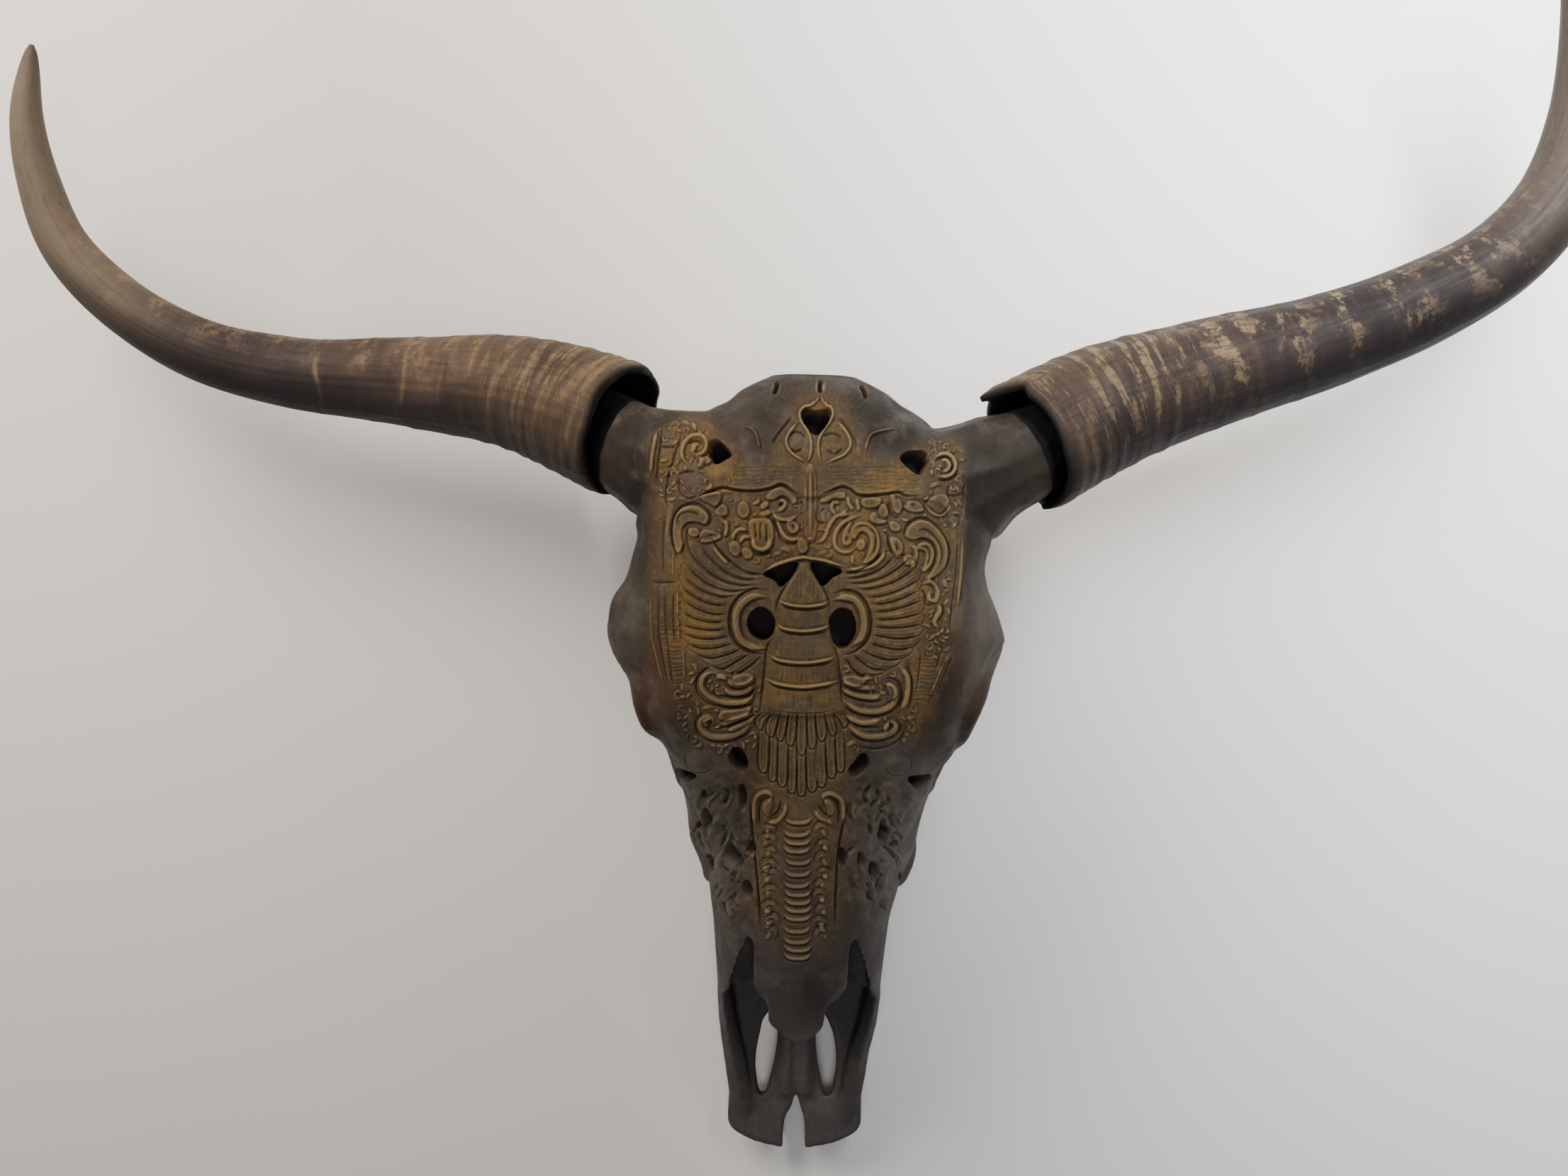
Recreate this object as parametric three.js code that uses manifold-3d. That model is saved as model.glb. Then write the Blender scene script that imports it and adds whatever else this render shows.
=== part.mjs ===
// Carved bull skull lying face up, with loose horn sheaths on its bone cores.
// Millimetres. x runs across the skull, s from the poll to the nose, z up from the floor.
import * as THREE from 'three';
import { LoftGeometry } from 'three/addons/geometries/LoftGeometry.js';
import { mergeVertices } from 'three/addons/utils/BufferGeometryUtils.js';
import Module from 'manifold-3d';

const wasm = await Module();
wasm.setup();

const GAP = 0.3;
const SLIVER = 0.12;
const FAR = 700;
const UP = new THREE.Vector3(0, 0, 1);
const FORWARD = new THREE.Vector3(0, -1, 0);
const SIDES = { right: -1, left: 1 };

// The skull's cross-sections: roof and keel heights on the midline, then half-width and height
// of the roof's shoulder, the outer edge, the wall under it and the base.
const SECTIONS = [
  { s: -1, roof: 156, shoulder: [17, 154], edge: [25, 147], wall: [18, 139], base: [9, 134], keel: 132 },
  { s: 10, roof: 172, shoulder: [31, 169], edge: [45, 155], wall: [40, 128], base: [22, 112], keel: 108 },
  { s: 26, roof: 184, shoulder: [47, 180], edge: [66.5, 160], wall: [66, 118], base: [38, 84], keel: 80 },
  { s: 50, roof: 191, shoulder: [62, 187], edge: [88, 160], wall: [82, 108], base: [46, 62], keel: 58 },
  { s: 90, roof: 196, shoulder: [78, 189], edge: [103.5, 152], wall: [80, 114], base: [42, 62], keel: 56 },
  { s: 125, roof: 196, shoulder: [82, 188], edge: [108, 148], wall: [70, 116], base: [34, 66], keel: 60 },
  { s: 155, roof: 193, shoulder: [86, 184], edge: [119, 144], wall: [62, 114], base: [30, 64], keel: 60 },
  { s: 190, roof: 187, shoulder: [79, 177], edge: [101, 140], wall: [56, 108], base: [30, 58], keel: 54 },
  { s: 225, roof: 176, shoulder: [66, 163], edge: [90, 118], wall: [66, 88], base: [42, 48], keel: 46 },
  { s: 262, roof: 161, shoulder: [50, 149], edge: [78, 94], wall: [68, 62], base: [50, 32], keel: 40 },
  { s: 300, roof: 144, shoulder: [42, 132], edge: [70, 78], wall: [62, 50], base: [50, 26], keel: 38 },
  { s: 330, roof: 131, shoulder: [39, 119], edge: [61, 69], wall: [54, 46], base: [44, 24], keel: 36 },
  { s: 360, roof: 118, shoulder: [38, 106], edge: [57.5, 64], wall: [50, 44], base: [38, 25], keel: 33 },
  { s: 393, roof: 105, shoulder: [37, 93], edge: [55, 58], wall: [48, 40], base: [34, 25], keel: 30 },
];
// The snout leans a little to the skull's left.
const LEAN = { start: 175, full: 265, most: 2.4 };
const RING_STEPS = 4;
const SPAN_STEPS = 2;

// The joint between the cranium and the upper jaws slopes from the roof back to the tooth rows.
const SUTURE = { topS: 275, topZ: 155, bottomS: 215, bottomZ: 25 };

// Eye sockets, cheek arches and the bumps of the face.
const ORBIT = { x: 102, s: 185, z: 115, ring: 31, rim: 9, turn: 0.38, cup: [28, 42], sunk: 13 };
const ORBIT_WALL = { x: 80, s: 187, z: 116, size: [31, 40, 36] };
const ARCH = [
  { x: 112, s: 160, z: 92, r: 9 },
  { x: 106, s: 134, z: 83, r: 8.5 },
  { x: 96, s: 106, z: 84, r: 8.5 },
  { x: 82, s: 80, z: 88, r: 15 },
];
const CHEEK = { x: 73, s: 226, z: 86, size: [19, 36, 27] };
const FACE_BUMP = { x: 63, s: 298, z: 62, size: [12, 27, 12] };

// The back and underside of the skull.
const NUCHAL = { x: 0, s: 41, z: 99, size: [86, 23, 47] };
const NECK_BASE = { x: 0, s: 44, z: 64, size: [42, 36, 20] };
const CONDYLE = { x: 23, s: 18, z: 60, size: [21, 22, 23] };
const BULLA = { x: 46, s: 78, z: 58, size: [16, 24, 22] };
const FORAMEN = { s: 0, z: 82, size: [19, 44, 16] };
const JUGULAR = [
  { x: 54, s: 56, z: 84, r: 22 },
  { x: 60, s: 48, z: 38, r: 14 },
  { x: 61, s: 46, z: -8, r: 7 },
];
const JUGULAR_FLAT = 0.7;
const PTERYGOID = [
  { x: 27, s: 232, z: 50, r: 27 },
  { x: 25, s: 192, z: 48, r: 24 },
  { x: 20, s: 158, z: 56, r: 14 },
];
const PTERYGOID_FLAT = 0.26;

// The nasal bones: half-width along the skull, thickness and how far their sides droop.
const NASAL = { thick: 9, proud: 1, droop: 0.17, flank: 0.55, crown: 0.35 };
const NASAL_WIDTHS = [
  { s: 260, half: 9 },
  { s: 272, half: 23 },
  { s: 292, half: 29 },
  { s: 350, half: 29.5 },
  { s: 378, half: 25.5 },
  { s: 394, half: 21 },
  { s: 406, half: 16.5 },
  { s: 414, half: 11 },
  { s: 419, half: 4 },
];

// The nose hollow, and the open notches beside the free end of the nasal bones.
const NOSE_HOLLOW = [
  { s: 300, half: 12, low: 64, high: 96 },
  { s: 330, half: 25, low: 54, high: 100 },
  { s: 362, half: 35, low: 48, high: 95 },
  { s: 398, half: 42, low: 43, high: 86 },
];
const NOTCH = { start: 344, end: 400, inner: 29.8, outerStart: 36, outerEnd: 47, low: 60 };
const NOTCH_CURVE = { shoulder: 8, crown: 6, sweep: 28, draw: 2, segments: 6 };

// The premaxillae: plan outline, the long opening in each, and its heights.
const PREMAX = { back: 393.3, tip: 518.5, corner: 498, backHalf: 54.5, waist: [46, 470], bulge: 46.6 };
const PREMAX_CURVE = { back: [52.5, 430], waist: 20, corner: [46.6, 510], tip: [26, 516.5] };
const INCISIVE = { apex: 479, half: 8, curve: [[8, 500], [7, 489]] };
const FISSURE = { start: 419, inner: 12.5 };
const FISSURE_CURVE = { inner: [[12.5, 440], [14, 460], [20, 477]], end: [[23, 482], [26, 475]], front: 19,
  outer: [[30.5, 464], [29.5, 438]] };
const BAR = { outerBevel: 2, innerBevel: 1, round: 0.25 };
const PLATE = { backLow: 28, frontLow: 13, backThick: 9, frontThick: 13 };
const SIDE_BAR = [
  { s: 393.3, inner: 46.5, outer: 54.5, low: 29, high: 80 },
  { s: 420, inner: 42, outer: 53, low: 26, high: 67 },
  { s: 450, inner: 35, outer: 49.5, low: 22, high: 51 },
  { s: 480, inner: 30, outer: 45.5, low: 17, high: 37 },
  { s: 502, inner: 26, outer: 42, low: 15, high: 28 },
];
const MID_BAR = [
  { s: 408, inner: 0, outer: 9, low: 27, high: 44 },
  { s: 445, inner: 0, outer: 11, low: 24, high: 42 },
  { s: 478, inner: 0, outer: 12, low: 19, high: 35 },
  { s: 484, inner: 0.9, outer: 9, low: 18, high: 30 },
];

// Cheek teeth from the front of the row to the back: length along the row and width across it.
const TEETH = [
  { long: 16, wide: 15 },
  { long: 18, wide: 18 },
  { long: 19, wide: 20 },
  { long: 23, wide: 21 },
  { long: 26, wide: 22 },
  { long: 28, wide: 21 },
];
const TOOTH_ROW = { frontS: 352, frontX: 40, backX: 51, space: 0.96 };
const TOOTH_LEVELS = [[40, 0.85], [16, 1.06], [0, 0.94]];
const TOOTH_SIDES = 8;

// Carved openings in the forehead: place, half-sizes, turn and depth.
const PITS = [
  { x: 0.5, s: 31, half: [7.5, 6.5], turn: 0 },
  { x: -56, s: 50, half: [6, 6], turn: 0.4 },
  { x: 60, s: 52, half: [8, 6], turn: -0.4 },
  { x: -14, s: 118, half: [10, 6.5], turn: 0.5 },
  { x: 10, s: 117, half: [10, 6.5], turn: -0.5 },
  { x: -27, s: 148, half: [6.5, 8.5], turn: 0 },
  { x: 20, s: 147, half: [6.5, 10], turn: 0 },
  { x: -40, s: 229, half: [4.5, 6], turn: 0 },
  { x: 34, s: 231, half: [5, 6], turn: 0 },
];
const PIT = { depth: 18, above: 14, sides: 12, taper: 0.8, fretSides: 8 };

// The carving's main forms, ridges on the skin: a bird with spread wings, about its own middle line.
const RIDGE = { high: 2.3, wide: 1.25, sunk: 0.3, sides: 4 };
const BIRD = { x: -3.5, high: 2.4, flank: 1.6, root: 4 };
const BIRD_BODY = [{ s: 114, half: 3 }, { s: 134, half: 13 }, { s: 162, half: 16 }, { s: 197, half: 21 }];
const BODY_BANDS = [{ s: 136, half: 13 }, { s: 150, half: 14 }, { s: 168, half: 16 }, { s: 181, half: 19 }];
const BAND_SAG = 3;
const EYE_RING = { x: 22, s: 147, r: 19, from: -100, to: 95, steps: 7 };
const WING = { feathers: 7, bow: 3, rootR: [27, 21], rootTurn: [-84, 78], tipR: [56, 37],
  tipTurn: [-58, 50] };
const TAIL = [
  { root: 199, tip: 220, lift: 2.4, feathers: 5, rootPitch: 9, tipPitch: 11 },
  { root: 223, tip: 245, lift: 1.6, feathers: 5, rootPitch: 9.5, tipPitch: 10.5 },
];

// Scrolls of the foliage as arcs, in degrees from the x axis, turning toward the nose.
const SCROLLS = [
  { x: -68.5, s: 90, r: 9.7, from: 135, to: 395 },
  { x: -27, s: 97, r: 6, from: -30, to: 210 },
  { x: 30, s: 97.5, r: 8, from: -200, to: 90 },
  { x: 63, s: 100.5, r: 12, from: -150, to: 60 },
  { x: -48.5, s: 183.5, r: 9.5, from: 70, to: 290 },
  { x: -52.5, s: 206, r: 7.5, from: 50, to: 300 },
  { x: 42.5, s: 187, r: 9, from: -110, to: 120 },
  { x: 43, s: 204, r: 7, from: -100, to: 130 },
];
const SCROLL_STEP = 48;
const HEART = { x: 1, lip: [[0.5, 16], [4, 24], [9, 30], [4.5, 40], [2.5, 50], [5, 58]] };

// Crescents across the nasal bones, and the deep pits of the pierced work beside them.
const CRESCENTS = { x: -2.5, first: 273, pitch: 12.5, count: 6, half: 8, sag: 3 };
const FRETS = [
  { x: -57, s: 267, half: [3, 6.5], turn: 0.2 },
  { x: -42, s: 288, half: [4, 7.5], turn: 0.2 },
  { x: -34, s: 310, half: [3, 5], turn: 0 },
  { x: 45, s: 276, half: [3.5, 6.5], turn: -0.2 },
  { x: 38, s: 299, half: [3, 5.5], turn: 0.2 },
];
const FRET_DEPTH = 8;

// Horn sheaths: the line down the middle from mouth to tip, and how the radius falls along it.
const HORNS = {
  right: {
    line: [[-111, 34, 132], [-182, 9, 113], [-249, 2, 101], [-336, -4, 93], [-397, -18, 92],
      [-446, -45, 93], [-481, -80, 97], [-496, -120, 103], [-501, -158, 109], [-496, -202, 114]],
    slender: 0.69,
    tipPower: 0.4,
    coreNeck: [-110, 44.5, 136],
    coreDrop: 0,
  },
  left: {
    line: [[127, 39, 140], [170, 15, 133], [238, -11, 127], [310, -33, 126], [371, -58, 129],
      [417, -86, 135], [445, -122, 143], [456, -170, 151], [450, -232, 161], [433, -278, 168]],
    slender: 0.82,
    tipPower: 0.36,
    coreNeck: [128, 43, 140],
    coreDrop: 7,
  },
};
const HORN = { base: 41.5, flare: 0.26, tip: 1.5, steps: 34, sides: 14, crowd: 0.9 };
const GROWTH = { pitch: 19, height: 0.022, until: 0.42 };
const SOCKET = { wall: 4.5, depth: 75, endRadius: 21, outside: 20, steps: 6 };
const CORE = {
  root: { x: 46, s: 62, z: 150, r: 42 },
  shoulder: { x: 82, s: 55, z: 146, r: 35 },
  neckRadius: 29,
  inside: [{ depth: 55, r: 23 }, { depth: 105, r: 19 }, { depth: 150, r: 12 }],
  steps: 10,
  sides: 12,
};

const FINISH = {
  cranium: { color: 0x6d5a41, roughness: 0.62 },
  maxilla: { color: 0x57493b, roughness: 0.6 },
  nasal_bones: { color: 0x6f5a3d, roughness: 0.58 },
  premaxilla: { color: 0x3d3632, roughness: 0.5 },
  horn: { color: 0x6b5a54, roughness: 0.45 },
};

const at = (x, s, z) => new THREE.Vector3(x, -s, z);

// A closed solid from a geometry, with its faces turned outward.
function solid(geometry) {
  const bare = new THREE.BufferGeometry().copy(geometry);
  bare.deleteAttribute('normal');
  bare.deleteAttribute('uv');
  const merged = mergeVertices(bare, 1e-4);
  const positions = merged.attributes.position;
  const corners = Uint32Array.from(merged.index.array);
  const point = (i) => new THREE.Vector3().fromBufferAttribute(positions, corners[i]);
  let volume = 0;
  for (let i = 0; i < corners.length; i += 3) {
    volume += point(i).dot(point(i + 1).cross(point(i + 2)));
  }
  if (volume < 0) {
    corners.reverse();
  }
  const vertProperties = Float32Array.from(positions.array);
  return new wasm.Manifold(new wasm.Mesh({ numProp: 3, vertProperties, triVerts: corners }));
}

const joined = (pieces) => pieces.reduce((whole, piece) => whole.add(piece));

const largest = (body) => body.decompose().sort((a, b) => b.volume() - a.volume())[0];

const middleOf = (ring) => {
  const sum = ring.reduce((total, spot) => total.add(spot), new THREE.Vector3());
  return sum.divideScalar(ring.length);
};

// A closed loft through rings, which are first turned to run the way that a loft needs.
function loft(rings) {
  const [start] = rings;
  const middle = middleOf(start);
  const turning = start.reduce((total, spot, i) => {
    const next = start[(i + 1) % start.length].clone().sub(middle);
    return total.add(spot.clone().sub(middle).cross(next));
  }, new THREE.Vector3());
  const ahead = middleOf(rings[1]).sub(middle);
  const ordered = turning.dot(ahead) > 0 ? rings : rings.map((ring) => [...ring].reverse());
  return solid(new LoftGeometry(ordered, { capStart: true, capEnd: true }));
}

function box(wide, deep, tall, centre, turnX = 0) {
  const geometry = new THREE.BoxGeometry(wide, deep, tall);
  geometry.rotateX(turnX);
  geometry.translate(centre.x, centre.y, centre.z);
  return solid(geometry);
}

function ellipsoid({ x, s, z, size }, side = 1) {
  const geometry = new THREE.SphereGeometry(1, 14, 9);
  geometry.scale(...size);
  geometry.translate(side * x, -s, z);
  return solid(geometry);
}

// A closed ring of points round a line, in the plane across it.
function circle(centre, along, radius, sides, up = UP, flat = 1) {
  const across = new THREE.Vector3().crossVectors(along, up).normalize();
  const over = new THREE.Vector3().crossVectors(across, along).normalize();
  return Array.from({ length: sides }, (_, i) => {
    const angle = (2 * Math.PI * i) / sides;
    return centre.clone()
      .addScaledVector(across, flat * radius * Math.cos(angle))
      .addScaledVector(over, radius * Math.sin(angle));
  });
}

// A round bone that tapers between the given points.
function tube(points, radii, { steps, sides, up = UP, flat = 1 }) {
  const curve = new THREE.CatmullRomCurve3(points);
  const spans = points.length - 1;
  const rings = Array.from({ length: steps + 1 }, (_, i) => {
    const place = (i / steps) * spans;
    const k = Math.min(Math.floor(place), spans - 1);
    const radius = THREE.MathUtils.lerp(radii[k], radii[k + 1], place - k);
    return circle(curve.getPoint(i / steps), curve.getTangent(i / steps), radius, sides, up, flat);
  });
  return loft(rings);
}

const sideTube = (points, side, options) =>
  tube(points.map(({ x, s, z }) => at(side * x, s, z)), points.map(({ r }) => r), options);

// The value of a named size at a place along a list of stations.
function sizeAt(stations, s, name) {
  const last = stations.length - 2;
  const k = Math.max(0, Math.min(last, stations.findIndex((station) => station.s > s) - 1));
  const from = stations[k];
  const to = stations[k + 1];
  return THREE.MathUtils.lerp(from[name], to[name], (s - from.s) / (to.s - from.s));
}

const roofAt = (s) => {
  const beyond = SECTIONS[SECTIONS.length - 1];
  const before = SECTIONS[SECTIONS.length - 2];
  const slope = (beyond.roof - before.roof) / (beyond.s - before.s);
  return s < beyond.s ? sizeAt(SECTIONS, s, 'roof') : beyond.roof + slope * (s - beyond.s);
};

// One smooth ring round the skull from its named heights and half-widths.
function skullRing({ s, roof, shoulder, edge, wall, base, keel }) {
  const flank = [shoulder, edge, wall, base];
  const loop = [
    at(0, s, roof),
    ...flank.map(([x, z]) => at(x, s, z)),
    at(0, s, keel),
    ...flank.map(([x, z]) => at(-x, s, z)).reverse(),
  ];
  return new THREE.CatmullRomCurve3(loop, true).getPoints(loop.length * RING_STEPS).slice(1);
}

// Rings between the key rings, each point running along the skull on a smooth curve.
function smoothRings(rings) {
  const steps = (rings.length - 1) * SPAN_STEPS;
  const lines = rings[0].map((_, j) => {
    const curve = new THREE.CatmullRomCurve3(rings.map((ring) => ring[j]));
    return curve.getPoints(steps);
  });
  return Array.from({ length: steps + 1 }, (_, i) => lines.map((line) => line[i]));
}

// The eye socket's rim and cup, facing outward and a little toward the nose.
function orbit(side) {
  const facing = new THREE.Vector3(side * Math.cos(ORBIT.turn), -Math.sin(ORBIT.turn), 0);
  const turn = new THREE.Quaternion().setFromUnitVectors(UP, facing);
  const centre = at(side * ORBIT.x, ORBIT.s, ORBIT.z);
  const ring = new THREE.TorusGeometry(ORBIT.ring, ORBIT.rim, 8, 22);
  ring.applyQuaternion(turn);
  ring.translate(centre.x, centre.y, centre.z);
  const [wide, deep] = ORBIT.cup;
  const cup = new THREE.SphereGeometry(1, 18, 10);
  cup.rotateX(Math.PI / 2);
  cup.scale(wide, wide, deep);
  cup.applyQuaternion(turn);
  const sunk = centre.addScaledVector(facing, -ORBIT.sunk);
  cup.translate(sunk.x, sunk.y, sunk.z);
  return { rim: solid(ring), cup: solid(cup) };
}

// A tapering round cut, down from above the skin.
function pit({ x, s, half, turn }, top, depth, sides) {
  const geometry = new THREE.CylinderGeometry(1, PIT.taper, depth + PIT.above, sides);
  geometry.rotateX(Math.PI / 2);
  geometry.scale(half[0], half[1], 1);
  geometry.rotateZ(turn);
  geometry.translate(x, -s, top + (PIT.above - depth) / 2);
  return solid(geometry);
}

function geometryOf(body) {
  const { vertProperties, triVerts } = body.getMesh();
  const geometry = new THREE.BufferGeometry();
  geometry.setAttribute('position', new THREE.BufferAttribute(vertProperties, 3));
  geometry.setIndex(new THREE.BufferAttribute(triVerts, 1));
  return geometry;
}

// The height of a body's upper skin at a place.
function skinOf(body) {
  const mesh = new THREE.Mesh(geometryOf(body), new THREE.MeshBasicMaterial({ side: THREE.DoubleSide }));
  const ray = new THREE.Raycaster();
  const down = UP.clone().negate();
  return (x, s) => {
    ray.set(at(x, s, FAR), down);
    return ray.intersectObject(mesh)[0].point.z;
  };
}

// A low ridge with a sharp crest that follows the skin along the given places.
function ridge(skin, places, steps, lift = 0) {
  const points = places.map(([x, s]) => at(x, s, skin(x, s) + lift - RIDGE.sunk));
  return tube(points, points.map(() => RIDGE.high), { steps, sides: RIDGE.sides, flat: RIDGE.wide });
}

// Places on an arc, in degrees.
function arcPlaces({ x, s, r, from, to }, steps, side = 1) {
  return Array.from({ length: steps + 1 }, (_, i) => {
    const angle = THREE.MathUtils.degToRad(THREE.MathUtils.lerp(from, to, i / steps));
    return [x + side * r * Math.cos(angle), s + r * Math.sin(angle)];
  });
}

function bowed(x, half, s, sag) {
  return [[x - half, s - sag], [x, s], [x + half, s - sag]];
}

// The bird's body stands proud of the forehead, with sagging bands across it.
function birdBody(skin) {
  const { x, high, flank, root } = BIRD;
  const rings = BIRD_BODY.map(({ s, half }) => {
    const profile = [[-half, -root], [-half, flank], [0, high], [half, flank], [half, -root]];
    return profile.map(([dx, dz]) => at(x + dx, s, skin(x + dx, s) + dz));
  });
  const bands = BODY_BANDS.map(({ s, half }) => ridge(skin, bowed(x, half, s, BAND_SAG), 2, flank));
  return [loft(rings), ...bands];
}

// One wing: feathers that spread from the eye ring.
function birdWing(skin, side) {
  const eye = { ...EYE_RING, x: BIRD.x + side * EYE_RING.x };
  const ring = ridge(skin, arcPlaces(eye, EYE_RING.steps, side), EYE_RING.steps);
  const spoke = (radii, turns, t) => {
    const angle = THREE.MathUtils.degToRad(THREE.MathUtils.lerp(...turns, t));
    const r = THREE.MathUtils.lerp(...radii, t);
    return [eye.x + side * r * Math.cos(angle), eye.s + r * Math.sin(angle)];
  };
  const feathers = Array.from({ length: WING.feathers }, (_, i) => {
    const t = i / (WING.feathers - 1);
    const root = spoke(WING.rootR, WING.rootTurn, t);
    const tip = spoke(WING.tipR, WING.tipTurn, t);
    const middle = [(root[0] + tip[0]) / 2, (root[1] + tip[1]) / 2 + WING.bow * (1 - t)];
    return ridge(skin, [root, middle, tip], 2);
  });
  return [ring, ...feathers];
}

// A tier of hanging tail feathers.
function birdTail(skin, { root, tip, lift, feathers, rootPitch, tipPitch }) {
  return Array.from({ length: feathers }, (_, i) => {
    const place = i - (feathers - 1) / 2;
    const end = tip - lift * Math.abs(place);
    return ridge(skin, [[BIRD.x + place * rootPitch, root], [BIRD.x + place * tipPitch, end]], 1);
  });
}

function foliage(skin) {
  const scrolls = SCROLLS.map((scroll) => {
    const steps = Math.round((scroll.to - scroll.from) / SCROLL_STEP);
    return ridge(skin, arcPlaces(scroll, steps), steps);
  });
  const lips = Object.values(SIDES).map((side) =>
    ridge(skin, HEART.lip.map(([x, s]) => [HEART.x + side * x, s]), HEART.lip.length - 1));
  return [...scrolls, ...lips];
}

function relief(skin) {
  const wings = Object.values(SIDES).flatMap((side) => birdWing(skin, side));
  return [...birdBody(skin), ...wings, ...TAIL.flatMap((tier) => birdTail(skin, tier)), ...foliage(skin)];
}

// The nasal bones with their row of carved crescents.
function carvedNasals() {
  const plain = nasalBones();
  const skin = skinOf(plain);
  const { x, first, pitch, count, half, sag } = CRESCENTS;
  const rows = Array.from({ length: count }, (_, i) => bowed(x, half, first + i * pitch, sag));
  return joined([plain, ...rows.map((row) => ridge(skin, row, 2))]);
}

// The row of cheek teeth, each a rounded block with a waist at the gum.
function toothRow(side) {
  const row = TEETH.reduce((sum, { long }) => sum + long, 0);
  let s = TOOTH_ROW.frontS;
  return joined(TEETH.map(({ long, wide }) => {
    const middle = s - long / 2;
    s -= long;
    const along = (TOOTH_ROW.frontS - middle) / row;
    const x = THREE.MathUtils.lerp(TOOTH_ROW.frontX, TOOTH_ROW.backX, Math.sqrt(along));
    return loft(TOOTH_LEVELS.map(([z, scale]) => Array.from({ length: TOOTH_SIDES }, (_, i) => {
      const angle = (2 * Math.PI * (i + 0.5)) / TOOTH_SIDES;
      const round = (value) => Math.sign(value) * Math.sqrt(Math.abs(value));
      const dx = round(Math.cos(angle)) * (wide / 2) * scale;
      const ds = round(Math.sin(angle)) * (long / 2) * TOOTH_ROW.space;
      return at(side * x + dx, middle + ds, z);
    })));
  }));
}

// The nasal bones, or with some room round them the bed that they lie in.
function nasalBones(room = 0, lift = 0) {
  const rings = NASAL_WIDTHS.map(({ s, half }) => {
    const top = roofAt(s) + NASAL.proud + lift;
    const bottom = roofAt(s) - NASAL.thick - room;
    const reach = half + room;
    const fall = NASAL.droop * reach;
    const flank = reach * NASAL.flank;
    const dip = fall * NASAL.crown;
    const outer = [[flank, top - dip], [reach, top - fall], [reach, bottom - fall], [flank, bottom - dip]];
    return [at(0, s, top), ...outer.map(([x, z]) => at(x, s, z)), at(0, s, bottom),
      ...outer.map(([x, z]) => at(-x, s, z)).reverse()];
  });
  return loft(smoothRings(rings));
}

function noseHollow() {
  const rings = NOSE_HOLLOW.map(({ s, half, low, high }) => {
    const middle = at(0, s, (low + high) / 2);
    return circle(middle, FORWARD, (high - low) / 2, 20, UP, (2 * half) / (high - low));
  });
  return loft(rings);
}

// The open notch beside the nasal bones, cut down from above.
function noseNotch(side) {
  const { shoulder, crown, sweep, draw, segments: curveSegments } = NOTCH_CURVE;
  const { start, end, inner, outerStart, outerEnd } = NOTCH;
  const shape = new THREE.Shape();
  shape.moveTo(side * inner, -end);
  shape.lineTo(side * inner, -start - shoulder);
  const top = (inner + outerStart) / 2;
  shape.quadraticCurveTo(side * top, -start + crown, side * outerStart, -start - shoulder);
  shape.quadraticCurveTo(side * (outerEnd - draw), -start - sweep, side * outerEnd, -end);
  const geometry = new THREE.ExtrudeGeometry(shape, { depth: FAR / 4, bevelEnabled: false, curveSegments });
  geometry.translate(0, 0, NOTCH.low);
  return solid(geometry);
}

// A bar of bone with a rounded box section that changes along s.
function bar(stations, side) {
  const rings = stations.map(({ s, inner, outer, low, high }) => {
    const middle = (inner + outer) / 2;
    const round = (high - low) * BAR.round;
    const flank = [[outer - BAR.outerBevel, low], [outer, low + round], [outer, high - round], [middle, high],
      [inner, high - round], [inner, low + round], [inner + BAR.innerBevel, low]];
    return flank.map(([x, z]) => at(side * (Math.max(x, 0) + GAP / 2), s, z));
  });
  return loft(smoothRings(rings));
}

// A premaxilla: a thin plate with its long opening, a side bar and a bar along the midline.
function premaxilla(side) {
  const mid = GAP / 2;
  const [waistX, waistS] = PREMAX.waist;
  const shape = new THREE.Shape();
  shape.moveTo(mid, PREMAX.back);
  shape.lineTo(PREMAX.backHalf, PREMAX.back);
  shape.bezierCurveTo(...PREMAX_CURVE.back, waistX, waistS - PREMAX_CURVE.waist, waistX, waistS);
  shape.lineTo(PREMAX.bulge, PREMAX.corner);
  shape.bezierCurveTo(...PREMAX_CURVE.corner, ...PREMAX_CURVE.tip, INCISIVE.half, PREMAX.tip);
  shape.bezierCurveTo(...INCISIVE.curve.flat(), mid, INCISIVE.apex);
  shape.closePath();
  const gap = new THREE.Path();
  gap.moveTo(FISSURE.inner, FISSURE.start);
  gap.bezierCurveTo(...FISSURE_CURVE.inner.flat());
  gap.quadraticCurveTo(...FISSURE_CURVE.end.flat());
  gap.bezierCurveTo(...FISSURE_CURVE.outer.flat(), FISSURE_CURVE.front, FISSURE.start);
  gap.closePath();
  shape.holes.push(gap);
  const geometry = new THREE.ExtrudeGeometry(shape, { depth: 1, bevelEnabled: false, curveSegments: 8 });
  const spots = geometry.attributes.position;
  for (let i = 0; i < spots.count; i += 1) {
    const s = spots.getY(i);
    const along = (s - PREMAX.back) / (PREMAX.tip - PREMAX.back);
    const low = THREE.MathUtils.lerp(PLATE.backLow, PLATE.frontLow, along);
    const thick = THREE.MathUtils.lerp(PLATE.backThick, PLATE.frontThick, along);
    spots.setXYZ(i, side * spots.getX(i), -s, low + thick * spots.getZ(i));
  }
  return joined([solid(geometry), bar(SIDE_BAR, side), bar(MID_BAR, side)]);
}

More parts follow.
